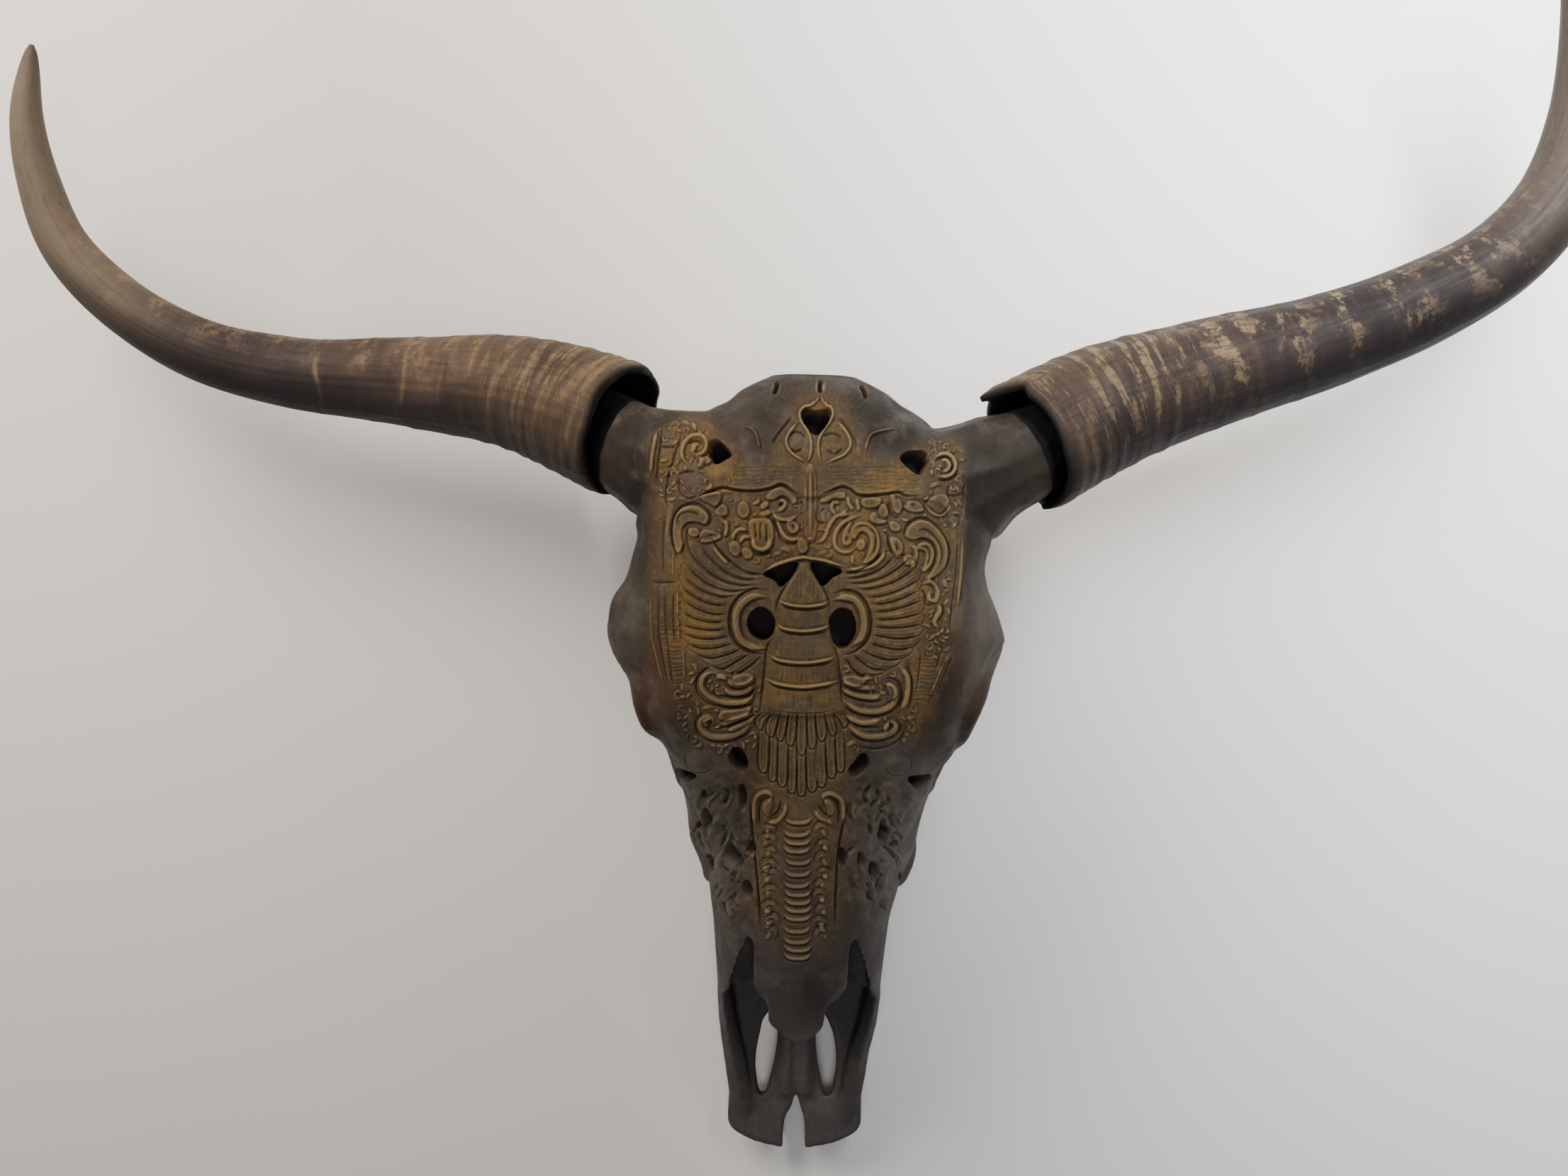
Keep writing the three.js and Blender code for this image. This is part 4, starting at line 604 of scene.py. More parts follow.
# Feather grooves of the wings, from the eye ring outward, top feather first.
WINGS = {
    "left": [
        [(-27.8, 84.6), (-38.8, 83.0), (-47.3, 77.5), (-54.7, 70.1), (-58.4, 64.0)],
        [(-30.2, 87.4), (-42.5, 86.7), (-52.2, 81.8), (-60.8, 73.8), (-66.0, 66.4)],
        [(-31.4, 90.3), (-44.9, 90.2), (-55.9, 86.0), (-64.5, 79.3), (-71.0, 72.0), (-73.6, 66.4)],
        [(-36.4, 92.2), (-47.3, 93.8), (-58.4, 90.9), (-66.9, 85.4), (-73.6, 78.4)],
        [(-45.6, 96.6), (-53.5, 97.0), (-63.3, 94.0), (-70.6, 89.2), (-75.2, 84.2)],
        [(-49.0, 102.0), (-58.4, 101.2), (-66.9, 97.9), (-73.7, 93.2), (-76.2, 89.8)],
        [(-50.2, 106.9), (-58.4, 106.7), (-66.9, 103.8), (-74.9, 99.0)],
        [(-50.8, 111.3), (-59.4, 111.4), (-68.2, 109.3), (-75.4, 105.6)],
        [(-50.8, 115.6), (-59.6, 116.0), (-68.2, 114.8), (-75.5, 112.6)],
        [(-48.8, 119.4), (-58.4, 120.9), (-66.9, 120.3), (-75.0, 117.7)],
        [(-46.3, 123.2), (-55.9, 125.8), (-64.5, 126.2), (-72.0, 123.6)],
        [(-41.6, 126.4), (-51.0, 130.1), (-59.6, 131.8), (-67.0, 129.6)],
        [(-36.8, 129.2), (-44.9, 133.8), (-52.0, 137.8), (-58.4, 136.4)],
        [(-30.6, 130.4), (-36.9, 136.2), (-44.6, 140.4), (-49.4, 139.8)],
    ],
    "right": [
        [(15.4, 83.8), (23.7, 82.4), (32.2, 77.5), (38.4, 71.6)],
        [(16.8, 86.9), (27.3, 85.4), (37.1, 81.1), (45.4, 73.8)],
        [(18.0, 89.5), (29.8, 88.7), (40.8, 84.8), (49.6, 78.7), (52.4, 75.4)],
        [(24.2, 92.6), (32.2, 92.4), (43.3, 89.1), (51.8, 84.4), (57.0, 80.6)],
        [(28.8, 97.2), (35.9, 96.8), (46.9, 93.6), (56.0, 88.9), (59.2, 87.3)],
        [(31.4, 101.0), (38.4, 100.9), (48.2, 98.3), (58.6, 93.4)],
        [(32.8, 105.6), (40.8, 105.2), (49.4, 103.0), (60.4, 99.1)],
        [(33.4, 109.8), (40.8, 109.9), (50.6, 108.7), (60.0, 106.3)],
        [(33.4, 113.8), (40.8, 114.6), (50.6, 114.2), (59.8, 112.6)],
        [(32.2, 118.4), (39.6, 120.0), (49.4, 120.7), (58.4, 119.2)],
        [(30.0, 122.6), (37.1, 125.2), (46.9, 126.9), (55.6, 125.4)],
        [(26.0, 126.6), (32.2, 130.1), (40.8, 132.6), (49.6, 131.8)],
        [(21.4, 129.4), (26.1, 133.8), (32.2, 137.7), (40.0, 138.4)],
        [(17.0, 131.0), (20.2, 136.2), (24.4, 140.6), (30.0, 142.0)],
    ],
}

# Tail feathers: places of root and tip down the sheet, how much both rise to the sides, half-width, and
# pitch across at root and tip. Each has a raised rim inside its groove.
TAIL_TIERS = [
    {"root": 163.0, "root_lift": 0.0, "tip": 185.5, "tip_lift": 2.3, "half": 2.7,
     "pitch_root": 5.0, "pitch_tip": 5.9},
    {"root": 184.5, "root_lift": 1.9, "tip": 210.5, "tip_lift": 2.4, "half": 2.9,
     "pitch_root": 5.3, "pitch_tip": 5.5},
]
TAIL = {"middle": -7.5, "sides": 4, "rise": 1.25, "sway": 0.5, "hang": 1.6, "widths": (0.88, 1.15),
        "shoulder": 1.6, "cut": (0.75, 1.1), "thin": 0.7}
TAIL_RIM = {"inset": 1.3, "shoulder": 2.0, "tip": 1.6, "cut": (1.1, 0.7)}

# Wing feathers: the cuts between them, how far their round tips reach, and the fine ribs.
FEATHER = {"cut": (1.05, 1.35), "tip": 2.2, "tip_cut": (0.8, 0.7), "tip_thin": 0.8, "rib": (1.3, 0.5)}

# Crescents and curls on the nose, by their height on the sheet.
CRESCENTS = (224.5, 231.6, 236.2, 240.8, 247.4, 254.0, 260.4, 265.4, 270.0, 274.4, 279.0, 286.0, 292.0,
             296.6, 301.0)
CRESCENT = {"x": -10.0, "half": 7.4, "sag": 2.6, "sway": 0.5, "shoulder": (0.6, 0.5), "ridge": (1.5, 0.9),
            "groove": (0.8, 1.1), "below": 2.1, "thin": 0.6}
CURLS = {"left": -26.6, "right": 4.6, "first": 229.0, "last": 290.0, "pitch": 7.6, "spacing": (0.8, 1.2),
         "radius": 3.2, "sizes": (0.7, 1.25), "inward": 1.4, "sway": 1.0, "tilt": 35.0,
         "sweeps": (150.0, 300.0), "grow": -0.5, "ridge": (1.7, 0.75), "gap": 1.8, "lead": 20.0,
         "sweep": 150.0, "groove": (1.0, 0.8), "thin": 0.5}
CURL_LEAF = {"across": (2.4, 4.4), "down": (2.0, 4.2), "bend": 0.8, "half": 2.0, "highs": (0.6, 1.0)}
NOSE_EDGES = {"cut": (1.1, 1.6),
              "lines": [[(-36.6, 214.0), (-35.0, 236.0), (-32.4, 262.0), (-31.0, 286.0)],
                        [(18.4, 214.0), (13.4, 238.0), (11.8, 262.0), (11.0, 284.0)]]}

# Fine cuts over the poll: where they spread from, first and last angle and their pitch in degrees, reach.
POLL_CUTS = {"centre": (0.8, 8.0), "angles": (-158.0, -20.0, 6.0), "from": 20.0, "to": 33.0, "sway": 3.0,
             "waves": (5, 7), "widen": 1.15}

# The ground that the carver cut down round the foliage, and the body that stands proud.
BAND = [(-80, 46), (-64, 41), (-46, 37.5), (-37, 38), (-30, 37.7), (-25, 36.4), (-20, 34.6), (-15.8, 35.8),
        (-11.8, 38.6), (-6, 40.5), (0, 40.5), (4.6, 39.7), (9.9, 37.4), (15.2, 35.8), (19.9, 37.2),
        (23.8, 40), (29, 40.7), (42, 39.4), (52, 40.7), (66, 43), (77, 52), (75, 78), (58, 80), (32, 78),
        (16, 76), (-6, 72), (-28, 79), (-56, 80), (-80, 76)]
BODY = [(-6.3, 78), (-13.0, 86), (-20.0, 98), (-21.0, 112), (-25.0, 126), (-28.0, 146), (-30.0, 162),
        (14.0, 162), (13.0, 146), (10.0, 126), (8.0, 112), (6.6, 98), (0.6, 86)]
BODY_LIFT = (0.9, 1.6)
BAND_DEPTH = 1.2
BAND_EDGE = 1.2
BAND_FADE = (56.0, 80.0)

# Areas of fine parallel cuts in millimetres, level or upright.
HATCH = {"edge": 0.8, "depth": 0.5, "wobble": ((0.3, 0.7, 0.0), (0.45, 0.19, 0.8))}
HATCHED = [
    {"outline": [(-46, 23), (-8, 23), (-8, 33), (-20, 30.5), (-30, 34), (-46, 34)], "pitch": 2.3,
     "level": True},
    {"outline": [(6, 23), (50, 23), (60, 30), (58, 38), (24, 36), (15, 32), (6, 35)], "pitch": 2.3,
     "level": True},
    {"outline": [(-88, 112), (-77, 112), (-74, 146), (-81, 148)], "pitch": 2.3, "level": True},
    {"outline": [(57, 130), (71, 130), (65, 156), (55, 158)], "pitch": 2.3, "level": True},
    {"outline": [(-21, 136), (6, 136), (8, 144), (-22, 144)], "pitch": 2.1, "level": False},
    {"outline": [(-7, 82), (-14, 92), (-17, 99), (4, 99), (1, 92)], "pitch": 2.3, "level": False},
]

# Ground that small leaves and curls fill: how many are tried, their sizes and the room that they need.
FILL = {"tries": 1600, "sizes": (1.5, 3.8), "edge": 0.5, "inside": 0.9, "room": (0.7, 0.2), "clear": 0.4,
        "stray": 0.7, "bend": 0.5, "half": 0.62, "highs": (0.7, 1.0)}
FILL_CURL = {"from": 2.2, "share": 0.55, "radius": 0.8, "turn": 250.0, "grow": -0.5, "points": 9,
             "cut": (1.3, 0.9), "thin": 0.6}
DRIFT = ((2.4, 0.11, 0.07), (1.3, -0.05, 0.17))
FILLED = [
    [(-79, 47), (-62, 43), (-44, 40), (-20, 38), (-6, 42), (4, 41), (18, 40), (30, 42), (60, 44), (72, 54),
     (72, 64), (54, 84), (42, 64), (28, 76), (14, 76), (-6, 71), (-28, 77), (-44, 72), (-58, 62),
     (-78, 72)],
    [(-74, 138), (-58, 136), (-34, 138), (-31, 176), (-50, 184), (-72, 176), (-78, 156)],
    [(16, 136), (30, 140), (52, 138), (57, 160), (50, 180), (24, 184), (17, 166)],
    [(-88, 2), (-70, -2), (-62, 2), (-62, 24), (-48, 26), (-50, 34), (-74, 42), (-88, 40)],
    [(64, 10), (80, 12), (84, 30), (82, 56), (70, 54), (62, 42), (66, 30)],
    [(62, 84), (76, 84), (74, 128), (62, 126)],
]

# The middle seam of the forehead, which stands as high as the ground was before.
SEAM = [(-5.4, 26), (0.0, 26), (0.4, 62), (-5.6, 62)]
SEAM_EDGE = 0.8

# The area that handling and stain have turned brown and gold.
STAINED = [(-92, 0), (-62, -4), (-34, 22), (-18, -2), (-10, -22), (14, -22), (22, -2), (36, 20), (62, 10),
           (86, 14), (88, 60), (84, 112), (68, 152), (54, 176), (24, 184), (20, 226), (13, 300), (-31, 300),
           (-38, 230), (-38, 190), (-60, 184), (-80, 160), (-94, 120), (-92, 60)]
STAIN_EDGE = 7.0

# Rough pierced work on both sides of the nose.
FRETS = [
    {"outline": [(-72, 208), (-40, 200), (-37, 240), (-33, 278), (-56, 278), (-63, 250)], "x": (-68, -37),
     "y": (206, 274)},
    {"outline": [(20, 202), (56, 206), (50, 240), (38, 276), (15, 278), (18, 240)], "x": (19, 50),
     "y": (208, 272)},
]
FRET = {"edge": 5.0, "inside": 0.6, "cuts": 34, "longs": (2.0, 6.0), "bend": 2.5, "lean": 0.7, "aside": 2.8,
        "groove": ((1.2, 2.4), (0.5, 1.5)), "ridge": ((1.4, 2.2), (0.4, 0.9)),
        "rough": ((1.2, 0.25), (3.0, 0.6))}
PINHOLE = {"count": 4, "wide": (0.9, 1.6), "tall": (1.4, 3.2), "depth": 0.4}
FRET_PIT = {"slant": 0.25, "depth": 0.5, "edge": 1.2}
FRET_PITS = [((-61.0, 223.0), (2.6, 6.6)), ((-47.8, 242.4), (3.2, 6.4)), ((-44.4, 246.6), (2.4, 5.0)),
             ((-38.6, 262.4), (2.4, 4.6)), ((-36.2, 239.0), (2.0, 3.6)), ((-59.6, 246.6), (1.8, 4.4)),
             ((-41.0, 210.0), (1.6, 7.0)), ((38.4, 231.0), (2.4, 6.4)),
             ((15.4, 244.4), (1.8, 5.4)), ((33.4, 252.4), (2.0, 5.4)),
             ((26.2, 246.0), (1.6, 4.0))]

# Where the carved bone is more golden, purple-brown or reddish: place, half-sizes and strength.
TINT = {"spread": 1.4, "blur": 3.0}
GOLD = [((-8.0, 153.0), (20, 8), 0.8), ((-8.0, 122.0), (20, 20), 0.35), ((-70.0, 118.0), (12, 14), 0.8),
        ((-76.0, 96.0), (6, 30), 0.7), ((-56.0, 27.0), (9, 8), 0.9), ((-68.0, 13.0), (10, 11), 0.7),
        ((-82.0, 14.0), (8, 14), 0.5), ((16.0, 62.0), (16, 14), 0.7), ((-32.0, 62.0), (11, 12), 0.75),
        ((44.0, 32.0), (14, 7), 0.6), ((2.0, -14.0), (9, 8), 0.8), ((50.0, 96.0), (18, 14), 0.45),
        ((-8.0, 196.0), (26, 28), 0.4), ((-8.0, 222.0), (26, 16), 0.5), ((-30.0, 250.0), (8, 30), 0.45),
        ((6.0, 250.0), (8, 36), 0.45), ((-10.0, 284.0), (12, 14), 0.5), ((58.0, 152.0), (10, 22), 0.5)]
PURPLE = [((-70.0, 33.0), (7, 8), 0.8), ((71.0, 42.0), (7, 8), 0.7), ((-62.0, 78.0), (13, 12), 0.7),
          ((42.0, 150.0), (7, 7), 0.6), ((40.0, 84.0), (12, 7), 0.4), ((-10.0, 254.0), (9, 14), 0.8),
          ((-58.0, 188.0), (14, 10), 0.6), ((44.0, 190.0), (14, 8), 0.5), ((-58.0, 62.0), (10, 8), 0.4)]
RED = [((-4.0, 58.0), (11, 9), 0.7), ((-30.0, 66.0), (9, 8), 0.4), ((-10.0, 300.0), (16, 14), 0.7),
       ((34.0, 268.0), (10, 6), 0.6), ((-92.0, 150.0), (10, 22), 0.8), ((-50.0, 196.0), (10, 6), 0.4),
       ((88.0, 146.0), (10, 26), 0.5)]

# Lighter areas of the whole skull, partly dust and partly painted light where the bone lies in shade, then
# areas darkened with painted shade: place, half-sizes and strength.
DUST_AND_FILL = [((-56.0, 236.0), (20, 42), 0.7), ((38.0, 236.0), (19, 44), 1.0), ((-104.0, 112.0), (10, 32), 0.45),
         ((94.0, 116.0), (12, 36), 0.9), ((-66.0, 188.0), (14, 10), 0.4), ((48.0, 190.0), (16, 12), 0.5),
         ((-8.0, 190.0), (24, 36), 0.3), ((-8.0, 250.0), (24, 40), 0.3), ((-10.0, 372.0), (40, 26), 0.4)]
SHADE_PATCHES = [((0.0, -24.0), (50, 16), 0.95), ((108.0, 22.0), (25, 28), 1.0), ((-8.0, 112.0), (12, 26), 0.35),
         ((0.0, 28.0), (60, 7), 0.2), ((-2.0, 318.0), (12, 14), 0.7)]

# Where the old bone is uneven at its edges, in millimetres: place, reach and shift across and down.
UNEVEN = [((-107.0, 106.0), 18, (-3.6, 0.0)), ((-101.0, 142.0), 14, (4.4, 0.0)),
          ((-65.4, 246.6), 11, (4.6, 0.0)), ((-80.4, 192.0), 12, (2.6, 0.0)),
          ((-100.0, 49.4), 12, (-2.4, 2.4)), ((96.0, 58.0), 13, (5.2, 5.2)),
          ((78.6, 181.8), 12, (2.4, 1.0)), ((68.5, 197.8), 8, (-2.0, 0.0)), ((57.0, 238.0), 12, (1.6, 0.0)),
          ((100.2, 140.0), 12, (-2.0, 0.0)), ((-66.0, 226.0), 8, (-1.6, 0.0)),
          ((-15.6, 383.0), 5, (3.0, 0.0)), ((-7.4, 383.0), 5, (-1.6, 0.0)),
          ((-11.3, 379.5), 5, (0.0, -3.2)), ((-34.6, 324.6), 6, (4.0, -3.0)),
          ((17.0, 325.8), 6, (-4.0, -3.0)), ((-111.0, 94.0), 10, (-2.4, 0.0)),
          ((-106.0, 142.0), 9, (2.2, 0.0)), ((-101.4, 61.0), 9, (2.0, 0.0)),
          ((-120.0, 40.0), 8, (0.0, 2.0)), ((-50.0, -14.0), 8, (1.2, 1.8)), ((49.8, -12.5), 8, (-0.8, 1.2)),
          ((90.0, -3.8), 10, (0.0, -2.2)), ((-97.0, 170.4), 8, (-1.0, 0.6)),
          ((95.8, 82.6), 10, (-1.4, 0.0)), ((105.9, 120.0), 8, (0.8, 0.0)), ((44.0, 265.4), 8, (1.2, 0.0)),
          ((-71.2, 230.9), 7, (-1.2, 0.0)), ((-63.4, 248.0), 7, (1.0, 0.0)),
          ((31.0, 353.0), 12, (-1.2, 0.0)), ((-30.9, 373.0), 5, (0.0, 3.6)), ((6.6, 373.0), 5, (0.0, 3.6)),
          ((8.0, 332.0), 6, (-2.4, -2.0)), ((-25.0, 337.0), 5, (-2.4, 0.6))]


def carve():
    """The layers of the carving: heights in millimetres, open holes and colour areas."""
    rng = np.random.default_rng(SEED)
    ridge, groove, swell, hole, raised = (sheet_canvas() for _ in range(5))
    for motif in MOTIFS:
        for line in motif.get("ridges", []):
            stroke(ridge, line, *motif.get("ridge", RIDGE), flat=RIDGE_TOP)
        for line in motif.get("grooves", []):
            stroke(groove, line, *motif.get("groove", GROOVE))
        for outline in motif.get("plates", []):
            raise_area(swell, outline, *PLATE)
        for place, half, high in motif.get("domes", []):
            dome(swell, place, half, high)
        for place, half, high in motif.get("buds", []):
            bud(swell, groove, place, half, high, rng)
    for outline in HOLES.values():
        raise_area(hole, outline, 1.0, HOLE_EDGE)
    carve_wings(ridge, groove)
    carve_tail(ridge, groove, rng)
    carve_nose(ridge, groove, swell, rng)
    carve_poll(groove)
    raise_area(raised, BODY, *BODY_LIFT)
    for patch in HATCHED:
        carve_hatch(groove, patch)
    sunk = sheet_canvas()
    raise_area(sunk, BAND, BAND_DEPTH, BAND_EDGE)
    down = CANVAS["y"][0] + CANVAS["step"] * np.arange(len(sunk))
    sunk *= np.clip((BAND_FADE[1] - down) / (BAND_FADE[1] - BAND_FADE[0]), 0, 1)[:, None]
    raise_area(raised, SEAM, BAND_DEPTH, SEAM_EDGE)
    fill_foliage(ridge, groove, swell, rng)
    rough = carve_frets(ridge, groove, hole, rng)
    proud = np.clip(ridge / RIDGE[1] + swell / RIDGE[1], 0, 1)
    beside = np.clip(BESIDE["gain"] * blurred(proud, BESIDE["reach"]), 0, 1) * (1 - proud)
    height = raised - sunk + swell + ridge - groove - BESIDE["depth"] * beside + rough
    stain = sheet_canvas()
    raise_area(stain, STAINED, 1.0, STAIN_EDGE)
    return {"height": height, "hole": hole, "cavity": height - blurred(height, CAVITY_REACH),
            "stain": stain, "gold": tinted(GOLD), "purple": tinted(PURPLE), "red": tinted(RED)}


def bent_line(middle, lean, long, bend, rng):
    """Three points through a place in a direction, bent to one side or the other."""
    ahead = long * np.array([math.cos(lean), math.sin(lean)])
    aside = bend * np.array([-math.sin(lean), math.cos(lean)]) * rng.choice((-1, 1))
    return [middle - ahead, middle + aside, middle + ahead]


def bud(swell, groove, place, half, high, rng):
    """A small bent leaf at a place, along its longer half-size."""
    wide, tall = half if isinstance(half, tuple) else (half, half)
    lean = rng.uniform(0, 2 * np.pi) if wide == tall else (0.0 if wide > tall else 0.5 * np.pi)
    narrow = min(wide, tall)
    line = bent_line(np.array(place), lean, max(wide, tall), BUD["bend"] * narrow, rng)
    leaf(swell, groove, line, BUD["half"] * narrow, high)


def drift(x, y):
    """The direction that the small leaves take at a place, in radians."""
    return sum(swing * math.sin(a * x + b * y) for swing, a, b in DRIFT)


def fill_foliage(ridge, groove, swell, rng):
    """Bent leaves and small curls wherever the foliage leaves the ground empty."""
    step = CANVAS["step"]
    for outline in FILLED:
        window, mask = outline_mask(outline, FILL["edge"])
        rows, cols = np.nonzero(mask > FILL["inside"])
        for pick in rng.integers(0, len(rows), FILL["tries"]):
            row, col = rows[pick] + window[0].start, cols[pick] + window[1].start
            size = rng.uniform(*FILL["sizes"])
            reach = int((FILL["room"][0] * size + FILL["room"][1]) / step)
            near = (slice(max(0, row - reach), row + reach), slice(max(0, col - reach), col + reach))
            if max(layer[near].max() for layer in (ridge, groove, swell)) > FILL["clear"]:
                continue
            middle = np.array([CANVAS["x"][0] + col * step, CANVAS["y"][0] + row * step])
            lean = drift(*middle) + rng.uniform(-FILL["stray"], FILL["stray"])
            line = bent_line(middle, lean, size, FILL["bend"] * size, rng)
            if size > FILL_CURL["from"] and rng.uniform() < FILL_CURL["share"]:
                start, turn = math.degrees(lean), rng.choice((-1, 1))
                curl = arc(middle, FILL_CURL["radius"] * size, start, start + turn * FILL_CURL["turn"],
                           FILL_CURL["grow"] * size, FILL_CURL["points"])
                stroke(ridge, curl, *FILL_CURL["cut"], thin=FILL_CURL["thin"])
            else:
                leaf(swell, groove, line, FILL["half"] * size, rng.uniform(*FILL["highs"]))


def carve_wings(ridge, groove):
    """Feathers between the grooves, each with a rounded tip and a fine rib."""
    for feathers in WINGS.values():
        for line in feathers:
            stroke(groove, line, *FEATHER["cut"])
        for upper, lower in zip(feathers, feathers[1:]):
            first, last = np.array(upper[-1]), np.array(lower[-1])
            outward = (first - np.array(upper[-2])) + (last - np.array(lower[-2]))
            tip = (first + last) / 2 + outward / max(np.linalg.norm(outward), TINY) * FEATHER["tip"]
            stroke(groove, [first, tip, last], *FEATHER["tip_cut"], thin=FEATHER["tip_thin"])
            count = min(len(upper), len(lower))
            middle = [(np.array(upper[i - count]) + np.array(lower[i - count])) / 2 for i in range(count)]
            stroke(ridge, middle, *FEATHER["rib"])


def hanging(root, tip, half, high, shoulder, low):
    """The outline of a hanging feather, down one side, round its tip and up the other."""
    return [(root - half, high), (tip - half, shoulder), (tip, low), (tip + half, shoulder),
            (root + half, high)]


def carve_tail(ridge, groove, rng):
    """Two tiers of hanging feathers, each outlined by a groove with a raised edge inside it."""
    for tier in TAIL_TIERS:
        for place in range(-TAIL["sides"], TAIL["sides"] + 1):
            root = TAIL["middle"] + place * tier["pitch_root"]
            tip = TAIL["middle"] + place * tier["pitch_tip"] + rng.uniform(-TAIL["sway"], TAIL["sway"])
            rise = abs(place) ** TAIL["rise"]
            high = tier["root"] - tier["root_lift"] * rise
            low = tier["tip"] - tier["tip_lift"] * rise + rng.uniform(-TAIL["hang"], TAIL["hang"])
            half = tier["half"] * rng.uniform(*TAIL["widths"])
            edge = hanging(root, tip, half, high, low - TAIL["shoulder"] * half, low)
            stroke(groove, edge, *TAIL["cut"], thin=TAIL["thin"])
            rim = hanging(root, tip, half - TAIL_RIM["inset"], high, low - TAIL_RIM["shoulder"] * half,
                          low - TAIL_RIM["tip"])
            stroke(ridge, rim, *TAIL_RIM["cut"], thin=TAIL["thin"])


def carve_nose(ridge, groove, swell, rng):
    """Stacked crescents down the middle of the nose with a chain of curled leaves on each side."""
    half, sag = CRESCENT["half"], CRESCENT["sag"]
    inner, rise = CRESCENT["shoulder"]
    for y in CRESCENTS:
        x = CRESCENT["x"] + rng.uniform(-CRESCENT["sway"], CRESCENT["sway"])
        bow = [(x - half, y - sag), (x - half * inner, y - rise), (x, y), (x + half * inner, y - rise),
               (x + half, y - sag)]
        below = [(px, py + CRESCENT["below"]) for px, py in bow]
        stroke(ridge, bow, *CRESCENT["ridge"], thin=CRESCENT["thin"], flat=RIDGE_TOP)
        stroke(groove, below, *CRESCENT["groove"], thin=CRESCENT["thin"])
    for x, out in ((CURLS["left"], -1), (CURLS["right"], 1)):
        y = CURLS["first"]
        while y < CURLS["last"]:
            carve_curl(ridge, groove, swell, (x, y), out, rng)
            y += CURLS["pitch"] * rng.uniform(*CURLS["spacing"])
    for line in NOSE_EDGES["lines"]:
        stroke(groove, line, *NOSE_EDGES["cut"])


def carve_curl(ridge, groove, swell, place, out, rng):
    """One curled leaf beside the nose, with a pointed leaf that grows outward from it."""
    x, y = place
    size = CURLS["radius"] * rng.uniform(*CURLS["sizes"])
    inward = CURLS["inward"] * (y - CURLS["first"]) / (CURLS["last"] - CURLS["first"])
    centre = np.array([x - out * inward + rng.uniform(-CURLS["sway"], CURLS["sway"]), y])
    start = (180 if out > 0 else 0) + rng.uniform(-CURLS["tilt"], CURLS["tilt"])
    curl = arc(centre, size, start, start + out * rng.uniform(*CURLS["sweeps"]), CURLS["grow"] * size)
    stroke(ridge, curl, *CURLS["ridge"], thin=CURLS["thin"])
    beside = arc(centre, size + CURLS["gap"], start - out * CURLS["lead"], start + out * CURLS["sweep"])
    stroke(groove, beside, *CURLS["groove"], thin=CURLS["thin"])
    away = np.array([out * rng.uniform(*CURL_LEAF["across"]), rng.uniform(*CURL_LEAF["down"])])
    line = [centre, centre + 0.5 * away + (0.0, CURL_LEAF["bend"]), centre + away]
    leaf(swell, groove, line, CURL_LEAF["half"], rng.uniform(*CURL_LEAF["highs"]))


def carve_poll(groove):
    """Fine cuts that spread up over the poll from the heart."""
    x, y = POLL_CUTS["centre"]
    sway, (near, far) = POLL_CUTS["sway"], POLL_CUTS["waves"]
    for angle in np.radians(np.arange(*POLL_CUTS["angles"])):
        ends = (POLL_CUTS["from"] + sway * math.sin(near * angle),
                POLL_CUTS["to"] + sway * math.cos(far * angle))
        line = [(x + r * math.cos(angle) * POLL_CUTS["widen"], y + r * math.sin(angle)) for r in ends]
        stroke(groove, line, *FINE)


def carve_hatch(groove, patch):
    """Fine parallel cuts inside an outline."""
    window, mask = outline_mask(patch["outline"], HATCH["edge"], False)
    part = groove[window]
    rows, cols = np.mgrid[window]
    across = (rows if patch["level"] else cols) * CANVAS["step"]
    other = (cols if patch["level"] else rows) * CANVAS["step"]
    wobble = sum(high * np.sin(a * other + b * across) for high, a, b in HATCH["wobble"])
    cut = np.clip(np.cos(2 * np.pi * (across + wobble) / patch["pitch"]), 0, 1) ** 2
    np.maximum(part, HATCH["depth"] * cut * mask, out=part)


def carve_frets(ridge, groove, hole, rng):
    """Rough pierced work: winding cuts, ridges beside them, deep pits and an uneven ground."""
    zone = sheet_canvas()
    for fret in FRETS:
        raise_area(zone, fret["outline"], 1.0, FRET["edge"])
        for _ in range(FRET["cuts"]):
            x, y = rng.uniform(*fret["x"]), rng.uniform(*fret["y"])
            if read_layer(zone, np.array([x]), np.array([y]))[0] < FRET["inside"]:
                continue
            long, bend = rng.uniform(*FRET["longs"]), rng.uniform(-FRET["bend"], FRET["bend"])
            lean = rng.uniform(-FRET["lean"], FRET["lean"])
            line = [(x - lean * long, y - long), (x + bend, y), (x + lean * long, y + long)]
            beside = [(px + FRET["aside"], py) for px, py in line]
            stroke(groove, line, *(rng.uniform(*limits) for limits in FRET["groove"]))
            stroke(ridge, beside, *(rng.uniform(*limits) for limits in FRET["ridge"]))
        for _ in range(PINHOLE["count"]):
            place = (rng.uniform(*fret["x"]), rng.uniform(*fret["y"]))
            dome(hole, place, (rng.uniform(*PINHOLE["wide"]), rng.uniform(*PINHOLE["tall"])),
                 PINHOLE["depth"])
    for (x, y), (wide, tall) in FRET_PITS:
        lean = FRET_PIT["slant"] * wide
        corners = [(x - wide, y), (x - lean, y - tall), (x + wide, y - lean), (x + lean, y + tall)]
        raise_area(hole, corners, FRET_PIT["depth"], FRET_PIT["edge"])
    rough = sheet_canvas()
    for reach, high in FRET["rough"]:
        noise = blurred(rng.normal(size=zone.shape), reach)
        rough += high * noise / noise.std()
    return zone * rough


def tinted(patches):
    """Soft overlapping areas of colour."""
    layer = sheet_canvas()
    for place, half, strength in patches:
        dome(layer, place, (half[0] * TINT["spread"], half[1] * TINT["spread"]), strength)
    return np.clip(blurred(layer, TINT["blur"]), 0, 1)


